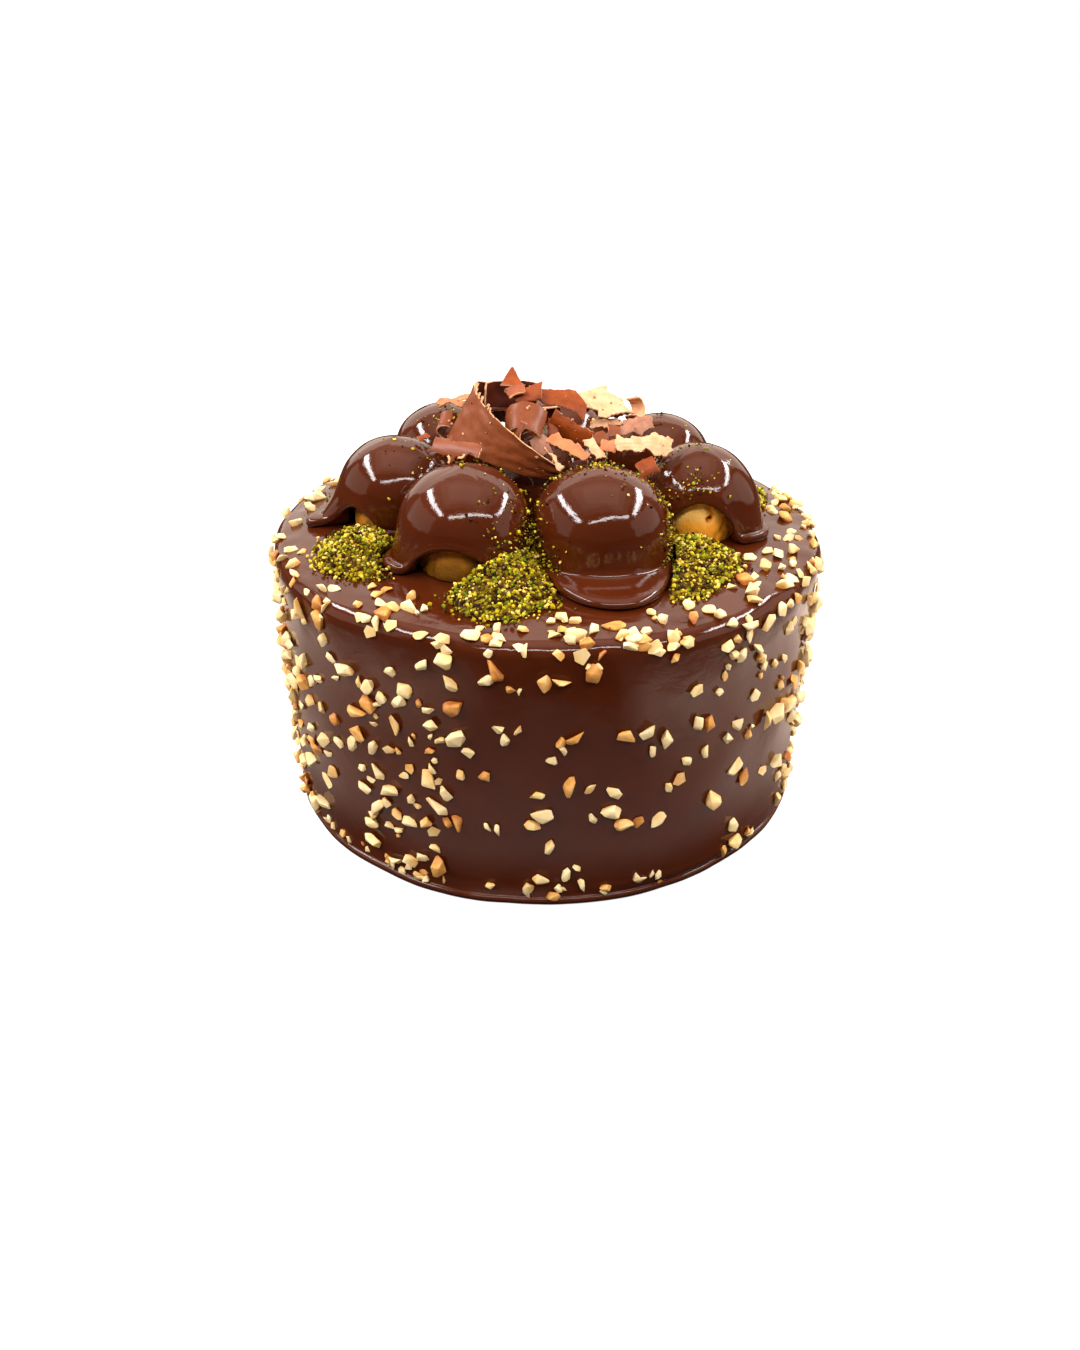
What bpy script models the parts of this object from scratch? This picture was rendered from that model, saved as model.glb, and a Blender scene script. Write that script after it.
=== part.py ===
"""A profiterole cake: a round cake under poured chocolate, seven coated cream puffs in a ring
round one in the middle, ground pistachio heaped between them, chopped hazelnuts scattered over
the top's edge and the side, and a pile of chocolate curls on the middle puff.

Metres, +Z up. The origin is the centre of the flat base that the cake rests on.
"""

import math
import random
from collections import namedtuple

import bmesh
import bpy
from mathutils import Euler, Matrix, Vector, noise

# The glazed cake
CAKE_RADIUS = 0.090
CAKE_HEIGHT = 0.090
RIM_RADIUS = 0.0045  # rounding of the top's edge
TOP_FLAT_RADIUS = 0.078  # outside this the glaze falls away towards the edge
TOP_FALL = 0.0010
FOOT_HEIGHT = 0.0024  # glaze that ran down and set round the base
FOOT_REACH = 0.0022
SIDE_WAVE = 0.0004  # how far the poured glaze is from a true cylinder
CAKE_SEGMENTS = 52

# The chocolate over each puff
COAT_THICKNESS = 0.0019
POOL_THICKNESS = 0.0030
FOOT_SHARE = 0.95  # radius of a puff's foot, as a share of its widest radius
WAIST_SHARE = 0.44  # height of the widest ring, as a share of the puff's height
SPLINE_FULLNESS = 1.045  # makes up for a B-spline running inside its control points
GAP = 0.0003  # between pieces that touch
BUN_GAP = 0.0013  # between a bun and the chocolate round it
BUN_LUMPS = 0.02  # depth of a bun's dents, as a share of its size
BUN_SWELL = 0.0022  # how far a bun bulges out through its window
LIP_SWELL = 0.0005  # how far the chocolate's lip over a window stands out

# Puffs and coats as meshes: steps round the puff, and from its top to its foot
ROUND_STEPS = 24
SOLID_STEPS = 13
SHELL_STEPS = 17
BUN_ROUND_STEPS = 14
BUN_STEPS = 8

# Ground pistachio
HEAP_LEAN = 0.45  # how much higher a heap is on the side of the puffs that it is piled against
HEAP_CLEARANCE = 0.0008
HEAP_RELIEF = 0.0005
HEAP_EDGE = 0.0002  # least thickness near a heap's rim
HEAP_ROUND_STEPS = 18
HEAP_STEPS = 7

# Chopped hazelnuts: the pieces here are the largest of what is scattered
NUT_SEED = 7
NUT_COUNT = 86
NUT_TOTAL = 560  # how many there are with the smaller ones
NUT_LARGEST = 0.0084  # length of a piece
NUT_SMALLEST = 0.0039
NUT_SIZE_FALL = 1.5  # how fast the length falls from the largest piece to the smallest
NUT_SINK = 0.26  # share of a piece's thickness that is set in the glaze
NUT_SPACING = 0.74  # least distance between two pieces, as a share of the new one's length
NUT_CLEARANCE = 0.62  # from puffs and heaps, as a share of its length
NUT_TOP_WIDTH = 0.022  # of the ring on the top that has them
NUT_TOP_SHARE = 0.24  # of the draws that fall on the top

# Chocolate curls
CURL_THICKNESS = 0.0008
CURL_DEGREES_PER_STEP = 22
CURL_WIDTH_STEPS = 2

SHARP_ANGLE = math.radians(40)  # edges sharper than this are shaded as edges

# A puff stands at (x, y) on the cake. A tongue of its chocolate is (azimuth, length past the
# foot, spread, height at which it starts), the window where its bun shows is (azimuth, half
# width, height), and a fold of thick chocolate is (azimuth, spread, height, height spread, how
# far it stands out). Angles are in degrees.
Puff = namedtuple("Puff", "name x y radius height tongues window folds", defaults=((),))
PUFFS = (
    Puff(
        "front_right", 0.0160, -0.0360, 0.0198, 0.0293,
        ((-82, 0.0155, 40, 0.0060), (-10, 0.0016, 34, 0.0140)),
        None,
        ((-10, 40, 0.0060, 0.0080, 0.0006),),
    ),
    Puff(
        "front_left", -0.0248, -0.0360, 0.0193, 0.0296,
        ((-163, 0.0058, 28, 0.0150),),
        (-100, 40, 0.0104),
        ((-48, 26, 0.0100, 0.0070, 0.0012),),
    ),
    Puff(
        "left", -0.0490, -0.0040, 0.0180, 0.0277,
        ((-166, 0.0118, 24, 0.0150),),
        (-130, 28, 0.0088),
    ),
    Puff(
        "back_left", -0.0360, 0.0350, 0.0175, 0.0275,
        ((178, 0.0080, 26, 0.0140),),
        (118, 36, 0.0110),
    ),
    Puff(
        "back", 0.0040, 0.0470, 0.0175, 0.0275,
        ((138, 0.0070, 24, 0.0160), (36, 0.0050, 24, 0.0110)),
        (84, 32, 0.0100),
    ),
    Puff(
        "back_right", 0.0395, 0.0260, 0.0170, 0.0270,
        ((32, 0.0100, 36, 0.0080),),
        None,
    ),
    Puff(
        "right", 0.0482, -0.0095, 0.0174, 0.0280,
        ((-19, 0.0066, 28, 0.0260),),
        (-92, 40, 0.0142),
        ((-70, 40, 0.0165, 0.0040, 0.0009),),
    ),
    Puff("centre", -0.0010, 0.0010, 0.0180, 0.0300, (), None),
)

# A heap of ground pistachio: where its middle lies, its length, its width, the azimuth of its
# long axis and its height. It spreads until it meets a puff's chocolate.
Heap = namedtuple("Heap", "name x y length width turn height")
HEAPS = (
    Heap("front", -0.0125, -0.0560, 0.048, 0.028, 86, 0.0078),
    Heap("front_left", -0.0572, -0.0340, 0.040, 0.026, 108, 0.0050),
    Heap("front_right", 0.0445, -0.0415, 0.042, 0.024, 72, 0.0064),
    Heap("side_right", 0.0670, 0.0170, 0.024, 0.018, 60, 0.0048),
    Heap("back_right", 0.0300, 0.0560, 0.032, 0.022, 150, 0.0054),
    Heap("back_left", -0.0220, 0.0620, 0.032, 0.026, 15, 0.0058),
    Heap("side_left", -0.0600, 0.0200, 0.022, 0.018, 90, 0.0046),
)

# Where hazelnuts lie thickest: on the side as (azimuth, height, spread of each, density) and on
# the top as (azimuth, radius, spread of each, density). Densities are in pieces to a square
# centimetre.
SIDE_PATCHES = (
    (-165, 0.050, 12, 0.040, 6.0),
    (-151, 0.015, 5, 0.010, 6.0),
    (-148, 0.081, 6, 0.005, 6.0),
    (-146, 0.057, 5, 0.007, 8.0),
    (-142, 0.026, 4, 0.019, 6.0),
    (-132, 0.082, 5, 0.005, 5.0),
    (-123, 0.033, 11, 0.026, 5.0),
    (-115, 0.061, 15, 0.007, 5.5),
    (-93, 0.022, 18, 0.014, 1.7),
    (-88, 0.080, 22, 0.006, 4.5),
    (-59, 0.057, 18, 0.013, 2.8),
    (-48, 0.079, 11, 0.007, 5.0),
    (-30, 0.040, 5, 0.012, 6.0),
    (-24, 0.066, 5, 0.010, 6.0),
    (-12, 0.050, 12, 0.040, 6.5),
    (28, 0.040, 24, 0.028, 2.5),
    (62, 0.014, 20, 0.010, 3.0),
    (78, 0.062, 22, 0.016, 2.8),
    (112, 0.028, 22, 0.018, 3.0),
    (150, 0.056, 20, 0.024, 3.0),
)
TOP_PATCHES = (
    (-165, 0.084, 12, 0.004, 3.0),
    (-130, 0.082, 16, 0.006, 4.5),
    (-104, 0.085, 10, 0.004, 4.0),
    (-78, 0.085, 15, 0.005, 8.0),
    (-62, 0.074, 8, 0.006, 5.0),
    (-38, 0.078, 14, 0.008, 3.5),
    (-14, 0.080, 12, 0.007, 4.0),
    (7, 0.081, 8, 0.006, 7.0),
    (80, 0.083, 34, 0.006, 2.5),
    (125, 0.082, 20, 0.006, 3.0),
    (166, 0.081, 12, 0.006, 4.0),
)
SPARSEST = 0.35  # density away from every patch
DENSEST = 9.0

# A curl is a strip of chocolate rolled about an axis. place: the middle of the strip. axis and
# facing: the azimuth and elevation, in degrees, of the axis and of the way its outside faces.
# radius: of the roll. width: along the axis. wrap: how far it rolls, in degrees. flare: how much
# wider the roll is at the axis's far end. coil: how much it widens along the strip. skew: how far
# the strip's far end is moved along the axis. taper: how much narrower that end is.
Curl = namedtuple(
    "Curl",
    "name place axis facing radius width wrap flare coil skew taper",
    defaults=(0.0, 0.0, 0.0, 0.0),
)
CURLS = (
    Curl("petal", (-0.0225, -0.0157, 0.1243), (7, 57), (-148, 8), 0.0214, 0.0271, 191, 0.07, -0.34, 0.0060, 0.84),
    Curl("front_strip", (-0.0276, -0.0258, 0.1216), (-30, 2), (-115, 45), 0.0045, 0.0180, 85),
    Curl("inner_roll", (-0.0072, -0.0136, 0.1283), (82, 25), (-95, 62), 0.0065, 0.0108, 132, 0.2),
    Curl("half_tube", (0.0036, -0.0016, 0.1302), (37, -19), (-85, 14), 0.0133, 0.0130, 31, 0.86, 0.45),
    Curl("pale_sheet", (0.0182, 0.0022, 0.1284), (-60, -15), (-70, 65), 0.0200, 0.0170, 42),
    Curl("loop", (0.0298, 0.0064, 0.1238), (-30, 20), (0, 0), 0.0032, 0.0050, 250),
    Curl("spike", (-0.0115, 0.007, 0.1346), (90, 80), (-90, 10), 0.0040, 0.0052, 60, -1.7),
    Curl("leaf", (-0.0100, -0.0030, 0.1332), (100, 10), (-100, 50), 0.0070, 0.0075, 60),
    Curl("mid_flake", (0.0061, -0.0262, 0.1225), (-31, -21), (-78, 60), 0.0096, 0.0134, 36),
    Curl("sliver", (0.0019, -0.0288, 0.1196), (-48, -29), (-110, 40), 0.0038, 0.0092, 36),
    Curl("stack_strip", (0.0186, -0.0030, 0.1225), (3, 3), (-90, 50), 0.0057, 0.0105, 34),
    Curl("low_flake", (-0.0020, -0.0170, 0.1197), (-50, -37), (-90, 45), 0.0083, 0.0079, 40),
    Curl("side_flake", (0.0143, -0.0180, 0.1192), (-50, -38), (-70, 50), 0.0098, 0.0085, 35),
    Curl("right_sheet", (0.0300, -0.0172, 0.1208), (7, 0), (-90, 54), 0.0199, 0.0186, 27),
    Curl("right_flake", (0.029, -0.006, 0.1230), (10, 5), (-90, 50), 0.0100, 0.0100, 45),
    Curl("left_strip", (-0.032, 0.014, 0.1245), (-30, 3), (-90, 60), 0.0060, 0.0110, 40),
    Curl("left_roll", (-0.0350, 0.0040, 0.1210), (80, 30), (-150, 10), 0.0030, 0.0070, 200),
    Curl("shard", (-0.0084, -0.0208, 0.1252), (16, 63), (-120, 20), 0.0059, 0.0063, 30),
    Curl("band", (0.007, -0.0085, 0.1220), (-20, -22), (-90, -10), 0.0070, 0.0150, 70),
    Curl("shadow_sheet", (0.0098, -0.0162, 0.1128), (-15, 20), (-90, 20), 0.0120, 0.0070, 26),
    Curl("gap_flake", (0.0200, -0.0008, 0.1188), (-20, -4), (-90, 45), 0.0150, 0.0115, 36),
    Curl("back_petal", (-0.0120, 0.0090, 0.1285), (90, 80), (95, 10), 0.0095, 0.0085, 130),
    Curl("back_roll", (-0.013, 0.016, 0.1240), (20, 10), (120, 45), 0.0045, 0.0160, 190),
    Curl("back_sheet", (0.021, 0.017, 0.1215), (-30, 10), (60, 60), 0.0160, 0.0150, 45),
    Curl("back_flake", (-0.0310, 0.0290, 0.1212), (60, 5), (150, 75), 0.0100, 0.0100, 50),
    Curl("back_strip", (-0.002, 0.0265, 0.1172), (0, 5), (90, 30), 0.0055, 0.0140, 95),
)

COLOURS = {  # linear RGB, roughness
    "chocolate": ((0.075, 0.026, 0.014), 0.12),
    "choux": ((0.520, 0.240, 0.055), 0.60),
    "pistachio": ((0.290, 0.220, 0.028), 0.80),
    "curl": ((0.250, 0.080, 0.030), 0.45),
}


def wrapped(degrees):
    """The same angle, from -180 to 180."""
    return (degrees + 180) % 360 - 180


def lobe(degrees, centre, spread):
    """1 at centre, falling smoothly to 0 past the spread."""
    return math.exp(-((wrapped(degrees - centre) / spread) ** 2))


def smooth(share):
    """0 to 1 with flat ends."""
    share = min(max(share, 0.0), 1.0)
    return share * share * (3 - 2 * share)


def spline_point(controls, share):
    """The point at share, from 0 to 1, of the cubic B-spline that starts and ends at the first
    and last control points."""
    padded = [controls[0]] * 2 + list(controls) + [controls[-1]] * 2
    spans = len(padded) - 3
    first = min(int(share * spans), spans - 1)
    u = share * spans - first
    weights = (
        (1 - u) ** 3 / 6,
        (3 * u**3 - 6 * u**2 + 4) / 6,
        (-3 * u**3 + 3 * u**2 + 3 * u + 1) / 6,
        u**3 / 6,
    )
    near = padded[first : first + 4]
    return tuple(sum(w * p[axis] for w, p in zip(weights, near)) for axis in (0, 1))


def material(name):
    """A plain material of the colour and roughness that COLOURS gives."""
    made = bpy.data.materials.get(name)
    if made is None:
        made = bpy.data.materials.new(name)
        made.use_nodes = True
        colour, roughness = COLOURS[name]
        shader = made.node_tree.nodes["Principled BSDF"]
        shader.inputs["Base Color"].default_value = (*colour, 1)
        shader.inputs["Roughness"].default_value = roughness
        shader.inputs["Metallic"].default_value = 0
    return made


def soften(mesh):
    """Shades the mesh smooth, but for its sharp edges."""
    mesh.shade_smooth()
    mesh.set_sharp_from_angle(angle=SHARP_ANGLE)


def add_object(name, mesh, finish, collection):
    """A smooth-shaded object of that mesh and material."""
    made = bpy.data.objects.new(name, mesh)
    mesh.materials.append(material(finish))
    soften(mesh)
    collection.objects.link(made)
    return made


def mesh_of(bm, name):
    """Turns the bmesh into a mesh, and frees it."""
    mesh = bpy.data.meshes.new(name)
    bm.to_mesh(mesh)
    bm.free()
    return mesh


def wrapped_sphere(round_steps, steps, place):
    """A closed mesh made from a sphere: place(azimuth in degrees, share from top to bottom) says
    where each of the sphere's vertices goes."""
    bm = bmesh.new()
    bmesh.ops.create_uvsphere(bm, u_segments=round_steps, v_segments=steps, radius=1)
    for vertex in bm.verts:
        azimuth = math.degrees(math.atan2(vertex.co.y, vertex.co.x))
        share = math.acos(min(max(vertex.co.z, -1.0), 1.0)) / math.pi
        vertex.co = place(azimuth, share)
    return bm


def at_azimuth(azimuth, radius, height):
    """A point from its azimuth in degrees, radius and height."""
    angle = math.radians(azimuth)
    return Vector((radius * math.cos(angle), radius * math.sin(angle), height))


# --- Puffs ---


def dome_point(radius, height, polar):
    """(radius, height) of a puff's outline at a polar angle: round above the waist, and nearly
    upright below it."""
    waist = WAIST_SHARE * height
    if polar < math.pi / 2:
        return radius * math.sin(polar), waist + (height - waist) * math.cos(polar)
    out = FOOT_SHARE + (1 - FOOT_SHARE) * math.sin(polar)
    return radius * out, waist + waist * math.cos(polar)


def polar_at(height, level):
    """The polar angle at which a puff's outline is at that level."""
    waist = WAIST_SHARE * height
    rise = height - waist if level > waist else waist
    return math.acos(min(max((level - waist) / rise, -1.0), 1.0))


def window_share(puff, azimuth):
    """Height of the puff's arched window there, as a share of its full height."""
    if puff.window is None:
        return 0.0
    centre, half_width, _ = puff.window
    off = abs(wrapped(azimuth - centre)) / half_width
    return math.cos(math.pi / 2 * min(off / 1.15, 1.0)) ** 0.8


def drape(puff, azimuth, level):
    """How far the chocolate stands out from the puff's dome where it runs down into a tongue or
    lies in a fold."""
    out = 0.0
    for centre, length, spread, start in puff.tongues:
        out += length * lobe(azimuth, centre, spread) * max(0.0, 1 - level / start) ** 2
    for centre, spread, middle, width, size in puff.folds:
        out += size * lobe(azimuth, centre, spread) * math.exp(-(((level - middle) / width) ** 2))
    return out


def foot_reach(puff, azimuth):
    """How far from the puff's axis its chocolate reaches on the cake."""
    reach = FOOT_SHARE * puff.radius + COAT_THICKNESS * 0.4
    for centre, length, spread, _ in puff.tongues:
        reach += length * lobe(azimuth, centre, spread)
    return reach


def coat_outline(puff, azimuth):
    """Control points (radius, height) down the outside of the chocolate and under its edge."""
    radius, height = puff.radius * SPLINE_FULLNESS, puff.height
    open_share = window_share(puff, azimuth)
    lip_height = puff.window[2] * open_share if puff.window else 0.0
    lowest = polar_at(height, lip_height + POOL_THICKNESS * 1.5)
    dome = [dome_point(radius, height, lowest * k / 6) for k in range(7)]
    dome = [(out + drape(puff, azimuth, level) * (out / radius), level) for out, level in dome]
    thick = POOL_THICKNESS
    foot = FOOT_SHARE * radius + drape(puff, azimuth, thick * 1.1)
    reach = max(foot_reach(puff, azimuth), foot)
    pool = (
        (foot, thick * 1.1),
        ((foot + reach) / 2, thick),
        (reach + 0.25 * thick, thick),
        (reach + 0.25 * thick, 0.0),
        (reach - 0.50 * thick, 0.0),
    )
    end = dome[-1][0]
    lip = (
        (end, lip_height + 1.1 * thick),
        (end + LIP_SWELL, lip_height + 0.6 * thick),
        (end, lip_height + 0.1 * thick),
        (end - 0.25 * thick, lip_height),
        (end - 0.50 * thick, lip_height + 0.2 * thick),
    )
    blend = min(1.0, 2.0 * open_share)
    skirt = [
        tuple(p * (1 - blend) + q * blend for p, q in zip(*pair)) for pair in zip(pool, lip)
    ]
    return dome + skirt


def bun_size(puff):
    """Radius and height of the choux bun under the chocolate."""
    inset = COAT_THICKNESS + BUN_GAP
    return puff.radius - inset, puff.height - inset


def bun_bulge(puff, azimuth, level):
    """How far the bun swells out there through the window of its chocolate."""
    centre, half_width, top = puff.window
    across = wrapped(azimuth - centre) / (0.9 * half_width)
    up = level / (0.85 * top)
    return BUN_SWELL * max(0.0, 1 - across**2) * max(0.0, 1 - up**2)


def coat_lining(puff, azimuth):
    """Control points (radius, height) up the inside of the chocolate, clear of the bun."""
    radius = (puff.radius - COAT_THICKNESS) * SPLINE_FULLNESS
    height = puff.height - COAT_THICKNESS
    level = coat_outline(puff, azimuth)[-1][1] + POOL_THICKNESS * 0.4
    start = polar_at(height, level)
    return [dome_point(radius, height, start * k / 5) for k in range(5, -1, -1)]


def build_coat(puff, collection):
    """The chocolate over a puff: a shell round its bun where the bun shows, and else solid."""
    shell = puff.window is not None

    def place(azimuth, share):
        outline = coat_outline(puff, azimuth)
        inside = coat_lining(puff, azimuth) if shell else [(0.0, 0.0)]
        if shell:
            floor_edge = (inside[0][0], outline[-1][1])
            inside = [floor_edge] + inside
        radius, height = spline_point(outline + inside, share)
        return at_azimuth(azimuth, radius, height)

    bm = wrapped_sphere(ROUND_STEPS, SHELL_STEPS if shell else SOLID_STEPS, place)
    kind = "coat" if shell else "profiterole"
    made = add_object(f"{kind}_{puff.name}", mesh_of(bm, kind), "chocolate", collection)
    made.location = (puff.x, puff.y, CAKE_HEIGHT + GAP)
    return made


def build_bun(puff, collection):
    """The choux bun under a coat: flat below, and a little lumpy."""
    radius, height = bun_size(puff)

    def place(azimuth, share):
        if share > 1 - 0.5 / BUN_STEPS:
            return Vector((0, 0, 0))
        out, up = dome_point(radius, height, math.pi * share * BUN_STEPS / (BUN_STEPS - 1))
        point = at_azimuth(azimuth, out + bun_bulge(puff, azimuth, up), up)
        lump = noise.noise(point * 120 + Vector((puff.x, puff.y, 0)) * 900)
        return point * (1 - BUN_LUMPS * abs(lump))

    bm = wrapped_sphere(BUN_ROUND_STEPS, BUN_STEPS, place)
    made = add_object(f"bun_{puff.name}", mesh_of(bm, "bun"), "choux", collection)
    made.location = (puff.x, puff.y, CAKE_HEIGHT + GAP)
    return made


# --- Pistachio ---


def inside_puff(x, y, clearance):
    """Whether the point on the cake's top is within clearance of a puff or its chocolate."""
    for puff in PUFFS:
        dx, dy = x - puff.x, y - puff.y
        azimuth = math.degrees(math.atan2(dy, dx))
        folds = sum(size * lobe(azimuth, fold, spread) for fold, spread, _, _, size in puff.folds)
        widest = puff.radius * 1.03 + folds
        limit = max(widest, foot_reach(puff, azimuth) + 0.25 * POOL_THICKNESS)
        if math.hypot(dx, dy) < limit + clearance:
            return True
    return False


def heap_oval(heap, azimuth):
    """How far the heap spreads from its middle where nothing is in its way."""
    angle = math.radians(azimuth - heap.turn)
    a, b = heap.length / 2, heap.width / 2
    oval = a * b / math.hypot(b * math.cos(angle), a * math.sin(angle))
    return oval * (1 + 0.10 * math.sin(3 * angle + heap.x * 400))


def heap_reach(heap, azimuth):
    """How far the heap spreads from its middle until it meets a puff."""
    reach, step = 0.002, 0.0005
    while reach < heap_oval(heap, azimuth):
        ahead = at_azimuth(azimuth, reach + step, 0)
        if inside_puff(heap.x + ahead.x, heap.y + ahead.y, HEAP_CLEARANCE):
            break
        reach += step
    return reach


def heap_height(heap, azimuth, distance):
    """Height of the heap at a distance from its middle: it is piled up towards the puffs."""
    share = min(1.0, distance / heap_oval(heap, azimuth))
    inward = math.degrees(math.atan2(-heap.y, -heap.x))
    lean = HEAP_LEAN * share * math.cos(math.radians(azimuth - inward))
    return heap.height * (1 - share**2) ** 0.75 * (1 + lean)


def build_heap(heap, collection):
    """A low mound with a grainy top and a flat underside."""

    def place(azimuth, share):
        if share > 1 - 0.5 / HEAP_STEPS:
            return Vector((0, 0, 0))
        out = min(1.0, math.sin(math.pi / 2 * share * HEAP_STEPS / (HEAP_STEPS - 1)))
        distance = heap_reach(heap, azimuth) * out
        if share > 1 - 1.5 / HEAP_STEPS:
            return at_azimuth(azimuth, distance, 0)
        point = at_azimuth(azimuth, distance, heap_height(heap, azimuth, distance))
        grain = noise.noise((point + Vector((heap.x, heap.y, 0))) * 400)
        point.z = max(point.z + HEAP_RELIEF * grain * (1 - out**4), HEAP_EDGE)
        return point

    bm = wrapped_sphere(HEAP_ROUND_STEPS, HEAP_STEPS, place)
    made = add_object(f"pistachio_{heap.name}", mesh_of(bm, "heap"), "pistachio", collection)
    made.location = (heap.x, heap.y, CAKE_HEIGHT + GAP)
    return made


# --- Cake and hazelnuts ---


def cake_profile():
    """(radius, height) down the outside of the cake, from the middle of its top to that of its
    base."""
    edge_top = CAKE_HEIGHT - TOP_FALL
    corner = (CAKE_RADIUS - RIM_RADIUS, edge_top - RIM_RADIUS)
    rim = [
        (corner[0] + RIM_RADIUS * math.sin(a), corner[1] + RIM_RADIUS * math.cos(a))
        for a in (math.pi / 2 * k / 3 for k in range(4))
    ]
    foot = CAKE_RADIUS + FOOT_REACH
    return (
        [(0.0, CAKE_HEIGHT), (TOP_FLAT_RADIUS, CAKE_HEIGHT)]
        + rim
        + [
            (CAKE_RADIUS, CAKE_HEIGHT * 0.50),
            (CAKE_RADIUS + 0.0004, FOOT_HEIGHT * 1.6),
            (foot - 0.0006, FOOT_HEIGHT),
            (foot, FOOT_HEIGHT * 0.5),
            (foot - 0.0004, 0.0),
            (0.0, 0.0),
        ]
    )


def glaze_wave(azimuth, height):
    """How far out the poured glaze stands at a point of the side."""
    turn = math.radians(azimuth)
    up = height / CAKE_HEIGHT
    return SIDE_WAVE * (math.sin(5 * turn + 1.5 * up) + 0.6 * math.sin(9 * turn - 2 * up))


def foot_run(azimuth):
    """How far the glaze ran out round the base, as a share of FOOT_REACH."""
    turn = math.radians(azimuth)
    return 0.55 + 0.30 * math.sin(3 * turn + 1.0) + 0.15 * math.sin(7 * turn)


def build_cake(collection):
    """The turned cake, its glaze made uneven, with the hazelnuts joined on."""
    bm = bmesh.new()
    chain = [bm.verts.new((radius, 0, height)) for radius, height in cake_profile()]
    for upper, lower in zip(chain, chain[1:]):
        bm.edges.new((upper, lower))
    cake = add_object("cake", mesh_of(bm, "cake"), "chocolate", collection)
    turned = cake.modifiers.new("turned", "SCREW")
    turned.steps = turned.render_steps = CAKE_SEGMENTS
    turned.use_merge_vertices = True
    turned.merge_threshold = 0.0001
    apply_modifiers(cake)
    for vertex in cake.data.vertices:
        x, y, height = vertex.co
        radius = math.hypot(x, y)
        if radius < TOP_FLAT_RADIUS + 0.001:
            continue
        azimuth = math.degrees(math.atan2(y, x))
        out = radius + glaze_wave(azimuth, height)
        if radius > CAKE_RADIUS + 0.0005:
            out -= FOOT_REACH * (1 - foot_run(azimuth))
        vertex.co = at_azimuth(azimuth, out, height)
    nuts = bpy.data.collections.new("hazelnuts")
    bpy.context.scene.collection.children.link(nuts)
    for spot in nut_spots(NUT_COUNT):
        build_nut(spot, nuts)
    join = cake.modifiers.new("hazelnuts", "BOOLEAN")
    join.operation = "UNION"
    join.operand_type = "COLLECTION"
    join.collection = nuts
    join.solver = "MANIFOLD"
    apply_modifiers(cake)
    for nut in list(nuts.objects):
        bpy.data.objects.remove(nut)
    bpy.data.collections.remove(nuts)
    keep_largest_body(cake.data)
    soften(cake.data)
    return cake


def keep_largest_body(mesh):
    """Drops loose scraps, and fills the hollows that joining pieces has sealed."""
    bm = bmesh.new()
    bm.from_mesh(mesh)
    left, bodies = set(bm.verts), []
    while left:
        body, edge = set(), [left.pop()]
        while edge:
            vertex = edge.pop()
            body.add(vertex)
            near = {link.other_vert(vertex) for link in vertex.link_edges} & left
            left -= near
            edge.extend(near)
        bodies.append(body)
    bodies.sort(key=len)
    for body in bodies[:-1]:
        bmesh.ops.delete(bm, geom=list(body), context="VERTS")
    bm.to_mesh(mesh)
    bm.free()


def apply_modifiers(made):
    """Replaces the object's mesh with what its modifiers make of it."""
    graph = bpy.context.evaluated_depsgraph_get()
    bpy.context.view_layer.update()
    mesh = bpy.data.meshes.new_from_object(made.evaluated_get(graph))
    made.modifiers.clear()
    made.data = mesh


def nut_density(patches, azimuth, across):
    """Pieces to a square centimetre at a point of the side or of the top."""
    density = SPARSEST
    for centre, middle, spread, width, peak in patches:
        near = math.exp(-(((across - middle) / width) ** 2))
        density += peak * near * lobe(azimuth, centre, spread)
    return density


def nut_length(index):
    """The length of a piece, the largest first."""
    share = (1 - index / NUT_TOTAL) ** NUT_SIZE_FALL
    return NUT_SMALLEST + (NUT_LARGEST - NUT_SMALLEST) * share


NutSpot = namedtuple("NutSpot", "point normal size spin")


def nut_spots(count):
    """Where the hazelnut pieces lie, the largest first: drawn at random over the side and the
    top's edge, and kept by how thick the patches are there."""
    rng = random.Random(NUT_SEED)
    side_top = CAKE_HEIGHT - TOP_FALL - RIM_RADIUS
    spots = []
    while len(spots) < count:
        azimuth, along = rng.uniform(-180, 180), rng.uniform(0, 1)
        on_top, keep, spin = rng.random() < NUT_TOP_SHARE, rng.random(), rng.uniform(0, 360)
        if on_top:
            radius = CAKE_RADIUS - RIM_RADIUS * 0.7 - NUT_TOP_WIDTH * along
            slope = max(0.0, (radius - TOP_FLAT_RADIUS) / (CAKE_RADIUS - RIM_RADIUS - TOP_FLAT_RADIUS))
            height = CAKE_HEIGHT - TOP_FALL * min(slope, 1.0)
            density = nut_density(TOP_PATCHES, azimuth, radius)
            normal = Vector((0, 0, 1))
        else:
            height = FOOT_HEIGHT + (side_top - FOOT_HEIGHT) * along
            radius = CAKE_RADIUS + glaze_wave(azimuth, height)
            density = nut_density(SIDE_PATCHES, azimuth, height)
            normal = at_azimuth(azimuth, 1, 0)
        if keep > density / DENSEST:
            continue
        point, size = at_azimuth(azimuth, radius, height), nut_length(len(spots))
        if any((point - other.point).length < NUT_SPACING * size for other in spots):
            continue
        if on_top and not top_is_free(point, NUT_CLEARANCE * size):
            continue
        spots.append(NutSpot(point, normal, size, spin))
    return spots


def top_is_free(point, clearance):
    """Whether a point of the top is that far from every puff and heap."""
    if inside_puff(point.x, point.y, clearance):
        return False
    for heap in HEAPS:
        dx, dy = point.x - heap.x, point.y - heap.y
        azimuth = math.degrees(math.atan2(dy, dx))
        if math.hypot(dx, dy) < heap_reach(heap, azimuth) + clearance:
            return False
    return True


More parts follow.
